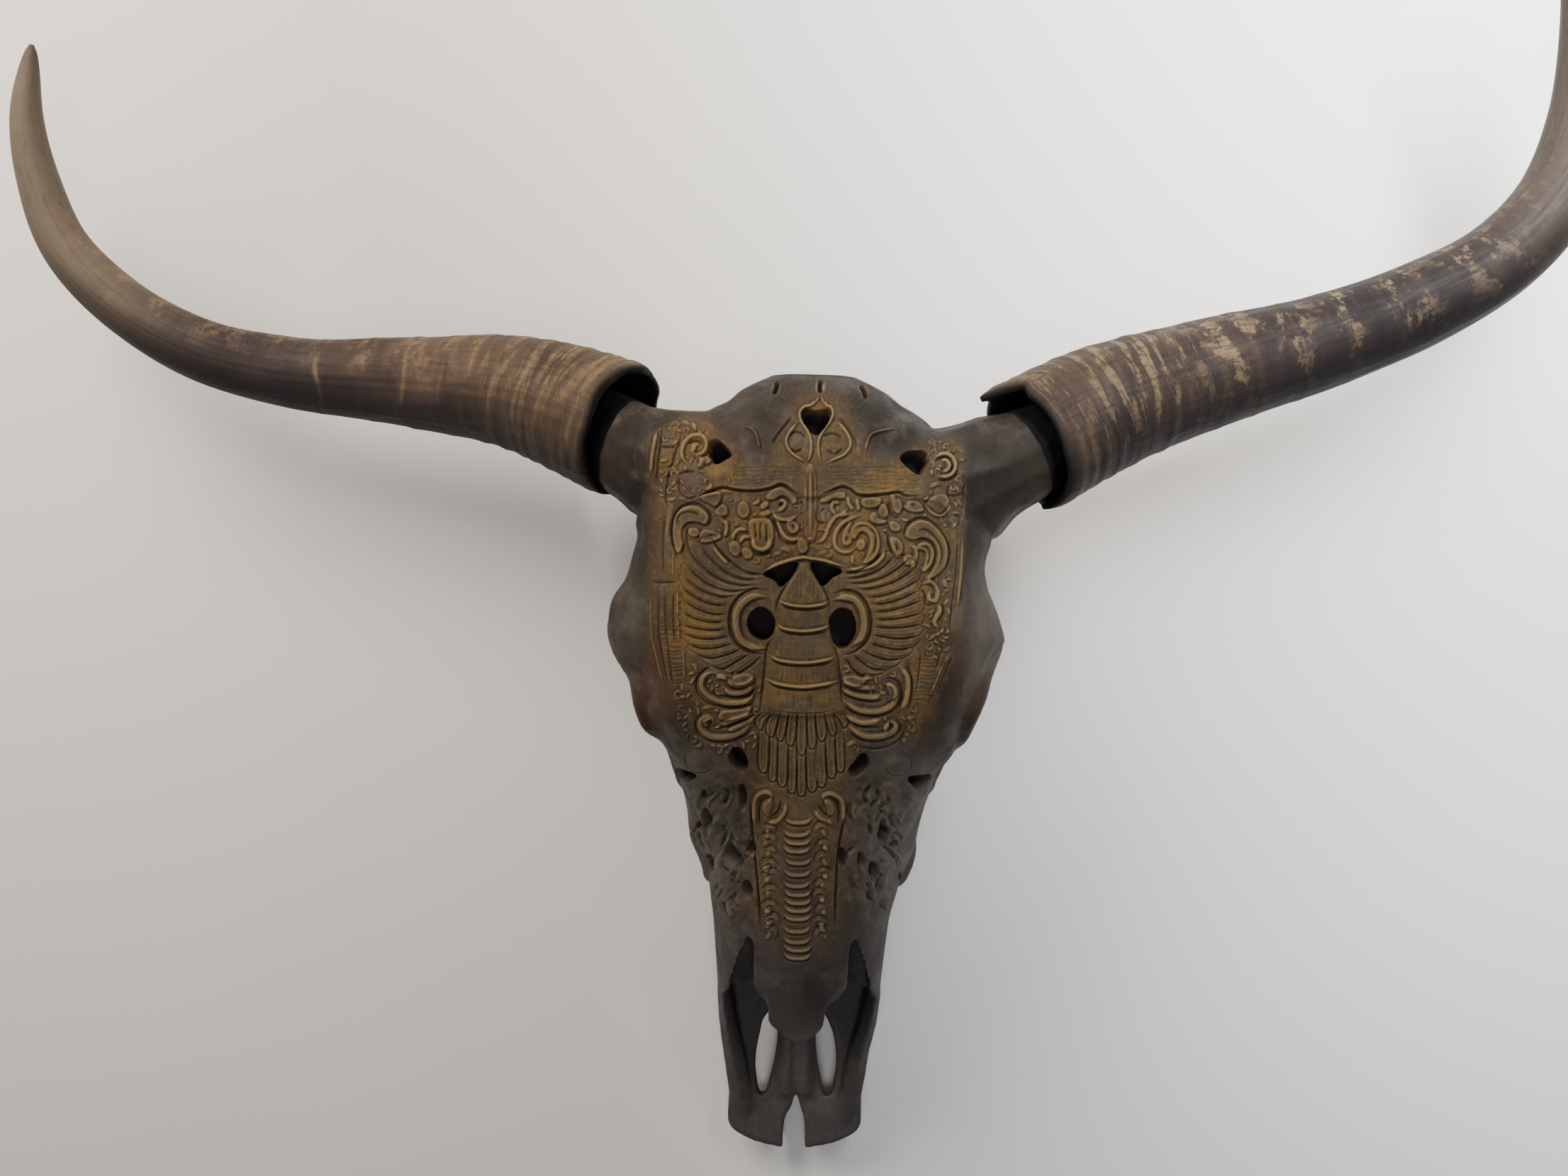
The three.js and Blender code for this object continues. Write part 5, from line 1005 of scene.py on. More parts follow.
def blots(patches, x, y):
    """Soft areas of tint at sheet points."""
    total = np.zeros_like(x)
    for place, half, strength in patches:
        total += strength * np.exp(-(((x - place[0]) / half[0]) ** 2) - ((y - place[1]) / half[1]) ** 2)
    return np.clip(total, 0, 1)


def uneven(points):
    """Shifts the edges of the skull where the two sides differ."""
    x, y = on_sheet(points)
    moved = points.copy()
    for place, reach, (across, down) in UNEVEN:
        share = MM * np.exp(-((x - place[0]) ** 2 + (y - place[1]) ** 2) / reach ** 2)
        moved[:, 0] += across * share
        moved[:, 1] -= down * share
    return moved


def mesh_arrays(mesh):
    """Vertices, triangles and the face that each triangle belongs to."""
    mesh.calc_loop_triangles()
    points = np.empty(len(mesh.vertices) * 3)
    mesh.vertices.foreach_get("co", points)
    corners = np.empty(len(mesh.loop_triangles) * 3, np.int32)
    mesh.loop_triangles.foreach_get("vertices", corners)
    owner = np.empty(len(mesh.loop_triangles), np.int32)
    mesh.loop_triangles.foreach_get("polygon_index", owner)
    return points.reshape(-1, 3), corners.reshape(-1, 3), owner


def mesh_edges(mesh):
    """The two ends of every edge."""
    ends = np.empty(len(mesh.edges) * 2, np.int32)
    mesh.edges.foreach_get("vertices", ends)
    return ends.reshape(-1, 2)


def neighbour_mean(points, ends, count):
    """The mean of the points joined to each point."""
    total = np.empty_like(points)
    for k in range(points.shape[1]):
        total[:, k] = np.bincount(ends[:, 0], points[ends[:, 1], k], len(points))
        total[:, k] += np.bincount(ends[:, 1], points[ends[:, 0], k], len(points))
    return total / count[:, None]


def smoothed(points, ends, rounds, weight=None):
    """Rounds off facets without shrinking the form."""
    count = np.maximum(np.bincount(ends.ravel(), minlength=len(points)), 1)
    share = np.ones(len(points)) if weight is None else weight
    for _ in range(rounds):
        for step in (SMOOTHING["shrink"], SMOOTHING["grow"]):
            points = points + (step * share)[:, None] * (neighbour_mean(points, ends, count) - points)
    return points


def point_normals(points, triangles):
    """Normals at the points, weighted by face area."""
    a, b, c = (points[triangles[:, k]] for k in range(3))
    face = np.cross(b - a, c - a)
    normals = np.zeros_like(points)
    for k in range(3):
        for corner in range(3):
            normals[:, k] += np.bincount(triangles[:, corner], face[:, k], len(points))
    return normals / np.maximum(np.linalg.norm(normals, axis=1), TINY)[:, None]


def joined_bone():
    """All bones as one mesh of small even faces."""
    whole = bmesh.new()
    for name in BONES:
        whole.from_mesh(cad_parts[name].data)
    bmesh.ops.remove_doubles(whole, verts=whole.verts, dist=WELD)
    mesh = bpy.data.meshes.new("bone_source")
    whole.to_mesh(mesh)
    whole.free()
    source = bpy.data.objects.new("bone_source", mesh)
    bpy.context.scene.collection.objects.link(source)
    remesh = source.modifiers.new("even", "REMESH")
    remesh.mode = "VOXEL"
    remesh.voxel_size = VOXEL
    made = bpy.data.meshes.new_from_object(source.evaluated_get(bpy.context.evaluated_depsgraph_get()))
    bpy.data.objects.remove(source)
    bpy.data.meshes.remove(mesh)
    return made


def nearest_bone(places):
    """The index of the bone that lies nearest to each place."""
    corners, faces, owner = [], [], []
    for index, name in enumerate(BONES):
        points, triangles, _ = mesh_arrays(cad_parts[name].data)
        faces.extend((triangles + len(corners)).tolist())
        corners.extend(points.tolist())
        owner.extend([index] * len(triangles))
    tree = BVHTree.FromPolygons(corners, faces)
    return np.array([owner[tree.find_nearest(Vector(p))[2]] for p in places])


def face_width(y):
    """Half-width of the carved face at a height on the sheet."""
    return np.interp(y, FACE_ROWS, FACE_HALVES, left=0, right=0)


def fill_openings(points, ends):
    """Closes the solids' plain openings with a smooth skin, ready for the carved ones."""
    for group in OPENINGS:
        near = np.zeros(len(points), bool)
        for x, y in group["places"]:
            near |= np.hypot(points[:, 0] - x, points[:, 1] - y) < group["reach"]
        points = relaxed(points, ends, near & (points[:, 2] > group["floor"]), group["rounds"])
    return points


def relaxed(points, ends, free, rounds):
    """Draws the free points level with their neighbours."""
    local = ends[free[ends].any(1)]
    used, index = np.unique(local, return_inverse=True)
    index = index.reshape(-1, 2)
    some = points[used]
    moving = free[used]
    count = np.maximum(np.bincount(index.ravel(), minlength=len(some)), 1)
    for _ in range(rounds):
        some[moving] = neighbour_mean(some, index, count)[moving]
    points[used] = some
    return points


def level_face(points, triangles, ends):
    """Takes the solids' coarse relief down before the carving."""
    x, y = on_sheet(points)
    normals = point_normals(points, triangles)
    free = abs(x - FACE_MIDDLE) < face_width(y) - LEVELLING["margin"]
    free &= (normals[:, 2] > LEVELLING["tilt"]) & (points[:, 2] > np.interp(y, *FACE_FLOOR))
    return relaxed(points, ends, free, LEVELLING["rounds"])


def refine_face(mesh, chosen):
    """Splits the chosen faces into finer ones."""
    work = bmesh.new()
    work.from_mesh(mesh)
    work.faces.ensure_lookup_table()
    edges = set()
    for index in np.nonzero(chosen)[0]:
        edges.update(work.faces[index].edges)
    bmesh.ops.subdivide_edges(work, edges=list(edges), cuts=FACE_CUTS, use_grid_fill=True,
                              use_single_edge=True)
    work.to_mesh(mesh)
    work.free()


def add_values(mesh, name, values):
    """Stores one number at each point, for the materials."""
    layer = mesh.attributes.new(name, "FLOAT", "POINT")
    layer.data.foreach_set("value", np.ascontiguousarray(values, np.float32))


def piece(name, points, triangles, normals, values, material, nodes):
    """A visible piece from arrays, on the skull's one body."""
    used, index = np.unique(triangles, return_inverse=True)
    faces = index.reshape(-1, 3)
    mesh = bpy.data.meshes.new(name)
    mesh.vertices.add(len(used))
    mesh.vertices.foreach_set("co", points[used].ravel())
    mesh.loops.add(faces.size)
    mesh.loops.foreach_set("vertex_index", faces.ravel().astype(np.int32))
    mesh.polygons.add(len(faces))
    mesh.polygons.foreach_set("loop_start", np.arange(0, faces.size, 3, dtype=np.int32))
    mesh.update(calc_edges=True)
    mesh.validate()
    mesh.shade_smooth()
    mesh.normals_split_custom_set_from_vertices(normals[used].tolist())
    for key, column in values.items():
        add_values(mesh, key, column[used])
    mesh.materials.append(material)
    made = bpy.data.objects.new(name, mesh)
    bpy.context.scene.collection.objects.link(made)
    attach(made, "root")
    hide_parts(*nodes)


def face_vectors(mesh, key):
    """The centre or the normal of every face."""
    flat = np.empty(len(mesh.polygons) * 3)
    mesh.polygons.foreach_get(key, flat)
    return flat.reshape(-1, 3)


def face_numbers(mesh, name):
    """The whole number that is stored at every face."""
    numbers = np.empty(len(mesh.polygons), np.int32)
    mesh.attributes[name].data.foreach_get("value", numbers)
    return numbers


def prepared_bone():
    """The skull as one mesh, levelled for the carving, with finer faces where it will be carved."""
    mesh = joined_bone()
    points, triangles, _ = mesh_arrays(mesh)
    ends = mesh_edges(mesh)
    points = fill_openings(smoothed(points, ends, SMOOTHING["rounds"]), ends)
    points = uneven(level_face(points, triangles, ends))
    mesh.vertices.foreach_set("co", points.ravel())
    mesh.update()
    centres = face_vectors(mesh, "center")
    x, y = on_sheet(centres)
    chosen = (abs(x - FACE_MIDDLE) < face_width(y)) & (face_vectors(mesh, "normal")[:, 2] > FACE_TILT)
    chosen &= centres[:, 2] > np.interp(y, *FACE_FLOOR)
    for name, numbers in (("bone", nearest_bone(centres)), ("carved", chosen)):
        mesh.attributes.new(name, "INT", "FACE").data.foreach_set("value", numbers.astype(np.int32))
    refine_face(mesh, chosen)
    return mesh


def carved_face(points, triangles, loose, layers):
    """Cuts the relief into the loose points, and gives the new normals and the values for the material."""
    normals = point_normals(points, triangles)
    x, y = on_sheet(points)
    edge = np.clip((face_width(y) - abs(x - FACE_MIDDLE)) / FACE_FADE["sides"], 0, 1)
    edge = edge * np.clip((FACE_ROWS[-1] - FACE_FADE["end"] - y) / FACE_FADE["end_long"], 0, 1)
    cut = np.where(loose, edge * np.clip((normals[:, 2] - FACE_TILT) / FACE_FADE["tilt"], 0, 1), 0.0)
    height = read_layer(layers["height"], x, y) * cut
    inside = np.where(loose, np.clip(edge * FACE_FADE["hole_gain"], 0, 1), 0.0)
    hole = read_layer(layers["hole"], x, y) * inside
    values = {key: read_layer(layers[key], x, y) * cut for key in ("cavity", "gold", "purple", "stain")}
    values["red"] = read_layer(layers["red"], x, y) * np.clip(normals[:, 2] * FACE_FADE["red_gain"], 0, 1)
    # Painted shade: the holes are coloured dark inside.
    values["pit"] = hole
    # Painted shade on the horn cores where they go into the sheaths.
    values["core"] = core_shadow(points)
    # Lighter areas, partly dust and partly painted light on bone that lies in shade.
    values["dust_and_fill"] = blots(DUST_AND_FILL, x, y)
    # Painted shade on the poll, a horn core, the body and the nose's end.
    values["painted_shade"] = blots(SHADE_PATCHES, x, y)
    values["nose"] = np.clip((y - GREY_NOSE["from"]) / GREY_NOSE["long"], 0, 1)
    values["nose"] += np.clip((GREY_NOSE["below"] - points[:, 2]) / GREY_NOSE["deep"], 0, 1)
    points = points + normals * ((height - HOLE_DEPTH * hole) * MM)[:, None]
    return points, point_normals(points, triangles), values


def build_bones(material):
    """The carved skull, cut into its bones."""
    layers = carve()
    mesh = prepared_bone()
    points, triangles, owner = mesh_arrays(mesh)
    label, carved = face_numbers(mesh, "bone")[owner], face_numbers(mesh, "carved")[owner] > 0
    loose = np.ones(len(points), bool)
    loose[triangles[~carved].ravel()] = False
    points = smoothed(points, mesh_edges(mesh), SMOOTHING["carved_rounds"], loose.astype(float))
    points, normals, values = carved_face(points, triangles, loose, layers)
    _, down = on_sheet(points[triangles].mean(1))
    for index, name in enumerate(BONES):
        mine = label == index
        parts = {name: mine}
        if name == "cranium":
            parts = {name: mine & ~carved}
            for title, (top, bottom) in CARVED_BANDS.items():
                parts[title] = mine & carved & (down >= top) & (down < bottom)
        for title, members in parts.items():
            piece(title + "_bone", points, triangles[members], normals, values, material,
                  (name,))
    bpy.data.meshes.remove(mesh)


# Horn sheaths: points of the middle line from mouth to tip in metres, how the radius falls along it, places
# and strengths of pale patches and of painted shade along it, and where the mouth's edge stands out or in.
HORNS = {
    "horn_right": {
        "line": [(-0.0927, 0.0860, 0.132), (-0.1637, 0.1110, 0.113), (-0.2307, 0.1180, 0.101),
                 (-0.3177, 0.1240, 0.093), (-0.3787, 0.1380, 0.092), (-0.4277, 0.1650, 0.093),
                 (-0.4627, 0.2000, 0.097), (-0.4777, 0.2400, 0.103), (-0.4827, 0.2780, 0.109),
                 (-0.4777, 0.3220, 0.114)],
        "slender": 0.69, "tip_power": 0.45, "seed": 3,
        "tones": [(0.0, 0.25), (0.1, 0.35), (0.25, 0.25), (0.36, 0.08), (0.5, 0.0), (0.64, 0.2),
                  (1.0, 0.1)],
        "upper_tone": 0.45, "warm": 1.0, "threads": 0.9,
        "painted_horn_shade": [(0.0, 0.05), (0.15, 0.12), (0.35, 0.0), (0.6, 0.38), (1.0, 0.25)],
        "lips": [(0.0, 1.6, -0.011), (2.5, 0.22, -0.003), (1.4, 0.3, 0.002)]},
    "horn_left": {
        "line": [(0.1453, 0.0810, 0.140), (0.1883, 0.1050, 0.133), (0.2563, 0.1310, 0.127),
                 (0.3283, 0.1530, 0.126), (0.3893, 0.1780, 0.129), (0.4353, 0.2060, 0.135),
                 (0.4633, 0.2420, 0.143), (0.4743, 0.2900, 0.151), (0.4683, 0.3520, 0.161),
                 (0.4513, 0.3980, 0.168)],
        "slender": 0.82, "tip_power": 0.38, "seed": 5,
        "tones": [(0.0, 0.2), (0.04, 0.4), (0.1, 0.6), (0.22, 0.75), (0.27, 0.65), (0.3, 0.2), (0.33, 0.7),
                  (0.37, 0.2), (0.4, 0.75), (0.44, 0.15), (0.47, 0.7), (0.52, 0.2), (0.56, 0.6),
                  (0.62, 0.3), (0.75, 0.2), (1.0, 0.1)],
        "upper_tone": 0.2, "warm": 0.5, "threads": 0.4,
        "painted_horn_shade": [(0.0, 0.55), (0.15, 0.75), (0.4, 0.95), (1.0, 1.0)],
        "lips": [(0.0, 1.6, -0.010), (-1.45, 0.30, 0.013), (-0.95, 0.16, -0.004), (1.75, 0.2, 0.005)]},
}

# Both sheaths: radius at mouth and tip in metres, reach of the flare, and numbers of points round and along.
HORN = {"base": 0.0415, "flare": 0.26, "tip": 0.0015, "around": 128, "rows": 400, "crowd": 0.9, "fine": 111}

# Where unevenness ends along a sheath, and how its lip is drawn out and thinned in metres.
SKIN = {"smooth_tip": 12.0, "swell_end": 1.1, "lip_reach": 0.03, "lip_long": 0.003, "lip_thin": 0.0012,
        "hollow_end": 0.02}

# Depth and radius of the hollow in metres.
HORN_INSIDE = ((0.0, 0.0365), (0.008, 0.0352), (0.040, 0.0300), (0.075, 0.0248), (0.105, 0.0208),
               (0.150, 0.0140), (0.157, 0.0006))
HORN_INSIDE_ROWS = 60

# Places of the growth rings from the mouth in metres, their sizes, and the pale threads between them.
RINGS = (0.010, 0.019, 0.030, 0.042, 0.053, 0.064, 0.083, 0.101, 0.122, 0.149, 0.178, 0.210)
RING = {"high": 0.0009, "half": 0.0034, "until": 0.24, "strong": (0.5, 1.0), "fall": 0.6, "stray": 0.002,
        "fine_until": 0.16, "thread": 0.0014, "thread_lead": 0.003, "thread_worn": 0.5}

# Unevenness of the sheaths: height, number of waves, most turns round the horn, and wavelength in metres.
WAVES = {
    "wander": (0.0022, 6, 4, 0.12),
    "fine_rings": (0.22, 7, 2, 0.008),
    "swell": (0.0004, 8, 6, 0.06),
    "flutes": (0.00012, 10, 40, 0.5),
    "lip": (0.0007, 6, 9, 1.0),
    "inside": (0.0003, 6, 5, 0.03),
    "sway": (0.012, 8, 3, 0.2),
    "wear": (0.6, 5, 5, 0.05),
}
WAVE_PACE = (0.3, 1.0)
WAVE_PHASE = 6.28

# Colour areas of the sheaths: end of the warm part, the dark rim, the grey underside that is partly painted
# shade, and the grain.
AREAS = {"warm_end": 0.45, "rim": 1.3, "rim_long": 0.005, "under": 0.1, "under_long": 0.75,
         "under_power": 1.3, "grain_wander": 0.4}
CORE_SHADOW = {"start": 0.0005, "long": 0.003, "reach": 0.05}


def horn_line(line):
    """A smooth line through the points, and the distance along it at each of its points."""
    p = np.array(line)
    p = np.vstack([2 * p[0] - p[1], p, 2 * p[-1] - p[-2]])
    runs = []
    for a, b, c, d in zip(p, p[1:], p[2:], p[3:]):
        before, here, after = (math.sqrt(np.linalg.norm(v - u)) for u, v in ((a, b), (b, c), (c, d)))
        start = here * ((b - a) / before - (c - a) / (before + here) + (c - b) / here)
        stop = here * ((c - b) / here - (d - b) / (here + after) + (d - c) / after)
        t = np.linspace(0, 1, HORN["fine"], endpoint=False)[:, None]
        runs.append(b + start * t + (3 * (c - b) - 2 * start - stop) * t ** 2
                    + (2 * (b - c) + start + stop) * t ** 3)
    fine = np.vstack(runs + [p[-2:-1]])
    gone = np.concatenate([[0], np.cumsum(np.linalg.norm(np.diff(fine, axis=0), axis=1))])
    return fine, gone


def core_shadow(points):
    """Painted shade on the bone where the horn cores go into the sheaths."""
    dark = np.zeros(len(points))
    for horn in HORNS.values():
        mouth = np.array(horn["line"][0])
        ahead = horn_frames(horn["line"], np.array([0.0]))[1][0]
        depth = (points - mouth) @ ahead
        apart = np.linalg.norm(points - mouth - depth[:, None] * ahead, axis=1)
        inside = np.clip((depth + CORE_SHADOW["start"]) / CORE_SHADOW["long"], 0, 1)
        dark = np.maximum(dark, np.where(apart < CORE_SHADOW["reach"], inside, 0.0))
    return dark


def horn_frames(line, depths):
    """Places, directions and two side directions at these depths from the mouth."""
    fine, gone = horn_line(line)
    place = np.stack([np.interp(depths, gone, fine[:, k]) for k in range(3)], 1)
    slope = np.gradient(fine, gone, axis=0)
    ahead = np.stack([np.interp(depths, gone, slope[:, k]) for k in range(3)], 1)
    ahead /= np.linalg.norm(ahead, axis=1)[:, None]
    up = np.array([0.0, 0.0, 1.0]) - ahead * ahead[:, 2:3]
    up /= np.linalg.norm(up, axis=1)[:, None]
    return place, ahead, up, np.cross(ahead, up)


def ripple(rng, depth, angle, kind):
    """Smooth unevenness over the horn, the same all round where it meets itself."""
    high, waves, around, long = WAVES[kind]
    total = np.zeros(np.broadcast(depth, angle).shape)
    for _ in range(waves):
        turns = rng.integers(0, around + 1)
        swing = depth * rng.uniform(*WAVE_PACE) * 2 * np.pi / long
        total = total + np.sin(turns * angle + swing + rng.uniform(0, WAVE_PHASE))
    return high * (total / math.sqrt(waves))


def growth_rings(depth, angle, wander, rng):
    """Raised rings that fade towards the tip, with finer ones between them near the mouth."""
    ring = np.zeros(np.broadcast(depth, angle).shape)
    for place in RINGS:
        strong = rng.uniform(*RING["strong"]) * max(0.0, 1 - place / RING["until"]) ** RING["fall"]
        apart = depth + wander - place - rng.uniform(-RING["stray"], RING["stray"])
        ring += strong * np.exp(-((apart / RING["half"]) ** 2))
    return ring + np.clip(1 - depth / RING["fine_until"], 0, 1) * ripple(rng, depth, angle, "fine_rings")


def torn_lip(lips, angle, rng):
    """How far the mouth's edge stands out or in round the sheath."""
    lip = ripple(rng, 0 * angle, angle, "lip")
    for centre, half, out in lips:
        apart = np.abs((angle - centre + np.pi) % (2 * np.pi) - np.pi)
        lip = lip + out * np.exp(-((apart / half) ** 2))
    return lip


def closed_skin(rows):
    """One skin over rows of points, closed at both ends: its points, triangles and normals."""
    points = np.concatenate(rows)
    count, around = points.shape[:2]
    index = np.arange(count * around).reshape(count, around)
    a, b = index[:-1], np.roll(index[:-1], -1, 1)
    c, d = np.roll(index[1:], -1, 1), index[1:]
    sides = [np.stack(corners, -1).reshape(-1, 3) for corners in ((a, b, c), (a, c, d))]
    tip = np.stack([index[-1], np.roll(index[-1], -1), np.full(around, count * around)], 1)
    root = np.stack([np.roll(index[0], -1), index[0], np.full(around, count * around + 1)], 1)
    triangles = np.concatenate(sides + [tip, root])
    flat = np.concatenate([points.reshape(-1, 3), points[-1].mean(0)[None], points[0].mean(0)[None]])
    normals = point_normals(flat, triangles)
    if ((flat - flat.mean(0)) * normals).sum() <= 0:
        triangles = triangles[:, ::-1]
        normals = -normals
    return flat, triangles, normals


def build_horn(name, horn, material):
    """A hollow sheath with growth rings, streaks and a worn mouth."""
    rng = np.random.default_rng(horn["seed"])
    length = horn_line(horn["line"])[1][-1]
    around = HORN["around"]
    angle = np.linspace(0, 2 * np.pi, around, endpoint=False)[None, :]
    outer = length * np.linspace(0, 1, HORN["rows"]) ** HORN["crowd"]
    depth = outer[:, None]
    u = depth / length
    shape = horn["slender"] * (1 - u) ** horn["tip_power"]
    shape = shape + (1 - horn["slender"]) * np.exp(-((u / HORN["flare"]) ** 2))
    radius = np.maximum(HORN["tip"], HORN["base"] * shape)
    wander = ripple(rng, depth, angle, "wander")
    ring = growth_rings(depth, angle, wander, rng)
    swell = RING["high"] * ring
    swell = swell + ripple(rng, depth, angle, "swell") * np.clip(1 - u * SKIN["swell_end"], 0, 1)
    flutes = ripple(rng, depth, angle, "flutes") * np.clip(1 - u, 0, 1)
    lip = torn_lip(horn["lips"], angle, rng)
    thinned = (np.clip(depth / SKIN["lip_long"], 0, 1) - 1) * SKIN["lip_thin"]
    outside = radius + (swell + flutes) * np.clip((1 - u) * SKIN["smooth_tip"], 0, 1) + thinned

    inner = np.linspace(HORN_INSIDE[0][0], HORN_INSIDE[-1][0], HORN_INSIDE_ROWS)
    inside = np.interp(inner, *zip(*HORN_INSIDE))[:, None]
    dents = ripple(rng, inner[:, None], angle, "inside")
    inside = inside + dents * np.clip(inside / SKIN["hollow_end"], 0, 1)

    rows = []
    for depths, radii in ((inner[::-1], inside[::-1]), (outer, outside)):
        place, ahead, up, right = horn_frames(horn["line"], depths)
        spoke = up[:, None, :] * np.cos(angle)[:, :, None] + right[:, None, :] * np.sin(angle)[:, :, None]
        shift = -lip * np.exp(-depths[:, None] / SKIN["lip_reach"])
        rows.append(place[:, None, :] + spoke * radii[:, :, None] + ahead[:, None, :] * shift[:, :, None])
    points, triangles, normals = closed_skin(rows)

    def column(inside_value, outside_values):
        """One value at all points inside, and these at the points outside."""
        inside_part = np.full(inner.size * around, inside_value)
        wide = np.broadcast_to(outside_values, (outer.size, around)).ravel()
        return np.concatenate([inside_part, wide, wide[-1:], [inside_value]])

    lit = normals[inner.size * around:-2, 1].reshape(outer.size, around)
    swayed = u + ripple(rng, depth, angle, "sway")
    # Painted light: the pale patches are stronger on the side that faces the light.
    tone = np.clip(np.interp(swayed, *zip(*horn["tones"])) + horn["upper_tone"] * lit, 0, 1)
    thread = np.zeros_like(ring)
    for place in RINGS:
        worn = np.clip(RING["thread_worn"] + ripple(rng, depth, angle, "wear"), 0, 1)
        thread += worn * np.exp(-(((depth + wander - place + RING["thread_lead"]) / RING["thread"]) ** 2))
    # The grey underside, partly painted shade on the side turned away from the light.
    under = np.clip((AREAS["under"] - lit) / AREAS["under_long"], 0, 1) ** AREAS["under_power"]
    values = {
        "tone": column(0.0, tone),
        "thread": column(0.0, horn["threads"] * np.clip(thread, 0, 1)),
        "warm": column(0.0, horn["warm"] * np.clip(1 - u / AREAS["warm_end"], 0, 1)),
        # Painted shade: the inside of the sheath is near black.
        "hollow": column(1.0, 0.0),
        "along": column(0.0, u),
        "rim": column(1.0, np.clip(AREAS["rim"] - depth / AREAS["rim_long"], 0, 1)),
        "under": column(0.0, under),
        # Painted shade along the sheath.
        "painted_horn_shade_share": column(0.0, np.interp(u, *zip(*horn["painted_horn_shade"]))),
        "grain_long": column(0.0, depth + wander * AREAS["grain_wander"]),
        "grain_round": column(0.0, np.sin(angle) * radius),
        "grain_high": column(0.0, np.cos(angle) * radius),
    }
    piece(name + "_sheath", points, triangles, normals, values, material, (name,))


def srgb(red, green, blue):
    """A screen colour as the light values that materials take."""
    def light(v):
        v /= 255
        return v / 12.92 if v <= 0.04045 else ((v + 0.055) / 1.055) ** 2.4
    return (light(red), light(green), light(blue), 1.0)


class Nodes:
    """A material's node tree with short calls for the nodes used here."""

    def __init__(self, name):
        self.material = bpy.data.materials.new(name)
        self.material.use_nodes = True
        self.tree = self.material.node_tree
        self.tree.nodes.clear()
        self.shader = self.tree.nodes.new("ShaderNodeBsdfPrincipled")
        self.shader.inputs["Specular IOR Level"].default_value = SHINE
        out = self.tree.nodes.new("ShaderNodeOutputMaterial")
        self.link(self.shader.outputs[0], out.inputs["Surface"])

    def link(self, start, end):
        self.tree.links.new(start, end)

    def value(self, name):
        node = self.tree.nodes.new("ShaderNodeAttribute")
        node.attribute_name = name
        return node.outputs["Fac"]

    def place(self):
        return self.tree.nodes.new("ShaderNodeTexCoord").outputs["Object"]

    def stretched(self, vector, scale):
        node = self.tree.nodes.new("ShaderNodeMapping")
        self.link(vector, node.inputs["Vector"])
        node.inputs["Scale"].default_value = scale
        return node.outputs["Vector"]

    def combined(self, x, y, z):
        node = self.tree.nodes.new("ShaderNodeCombineXYZ")
        for socket, source in zip(node.inputs, (x, y, z)):
            self.link(source, socket)
        return node.outputs[0]

    def noise(self, vector, scale, detail=4.0, rough=0.55):
        node = self.tree.nodes.new("ShaderNodeTexNoise")
        self.link(vector, node.inputs["Vector"])
        node.inputs["Scale"].default_value = scale
        node.inputs["Detail"].default_value = detail
        node.inputs["Roughness"].default_value = rough
        return node.outputs["Fac"]

    def ramp(self, source, low, high, start=0.0, end=1.0):
        node = self.tree.nodes.new("ShaderNodeMapRange")
        node.interpolation_type = "SMOOTHSTEP"
        self.link(source, node.inputs["Value"])
        for key, number in (("From Min", low), ("From Max", high), ("To Min", start), ("To Max", end)):
            node.inputs[key].default_value = number
        return node.outputs["Result"]

    def math(self, kind, first, second):
        node = self.tree.nodes.new("ShaderNodeMath")
        node.operation = kind
        for socket, source in zip(node.inputs, (first, second)):
            if isinstance(source, (int, float)):
                socket.default_value = source
            else:
                self.link(source, socket)
        return node.outputs[0]

    def times(self, first, second):
        return self.math("MULTIPLY", first, second)

    def mix(self, factor, first, second, kind="MIX"):
        node = self.tree.nodes.new("ShaderNodeMix")
        node.data_type = "RGBA"
        node.blend_type = kind
        node.clamp_factor = True
        self.link(factor, node.inputs[0])
        for socket, source in ((node.inputs[6], first), (node.inputs[7], second)):
            if isinstance(source, tuple):
                socket.default_value = source
            else:
                self.link(source, socket)
        return node.outputs[2]

    def bump(self, height, strength, distance, under=None):
        node = self.tree.nodes.new("ShaderNodeBump")
        node.inputs["Strength"].default_value = strength
        node.inputs["Distance"].default_value = distance
        self.link(height, node.inputs["Height"])
        if under is not None:
            self.link(under, node.inputs["Normal"])
        return node.outputs["Normal"]

    def finish(self, colour, rough, normal):
        self.link(colour, self.shader.inputs["Base Color"])
        self.link(rough, self.shader.inputs["Roughness"])
        self.link(normal, self.shader.inputs["Normal"])
        return self.material


# Colours of the bone, the horn and the floor, and the shine of all three. Some are painted shade: the dark
# of the holes and of the horn cores by the sheaths, and the horns' grey underside, hollow and darkening
# tint.
BONE_COLOURS = {
    "shade": srgb(36, 31, 27), "plain": srgb(55, 47, 39), "stain": srgb(80, 65, 45),
    "gold": srgb(122, 94, 44), "purple": srgb(62, 49, 48), "red": srgb(88, 56, 40),
    "groove": srgb(33, 25, 17), "worn": srgb(146, 123, 84), "nose": srgb(66, 63, 64),
    "pit": srgb(38, 34, 34), "core": srgb(8, 8, 9), "dust_and_fill_colour": srgb(93, 86, 78), "fleck": srgb(118, 94, 54)}
HORN_COLOURS = {
    "dark": srgb(50, 40, 40), "brown": srgb(74, 59, 52), "tan": srgb(94, 76, 56),
    "pale": srgb(138, 116, 84), "tip": srgb(118, 105, 90), "grey": srgb(46, 43, 47),
    "rim": srgb(36, 32, 31), "hollow": srgb(20, 19, 18), "painted_horn_shade": srgb(138, 137, 142)}
FLOOR_COLOURS = (srgb(236, 232, 226), srgb(230, 229, 227))
SHINE = 0.18


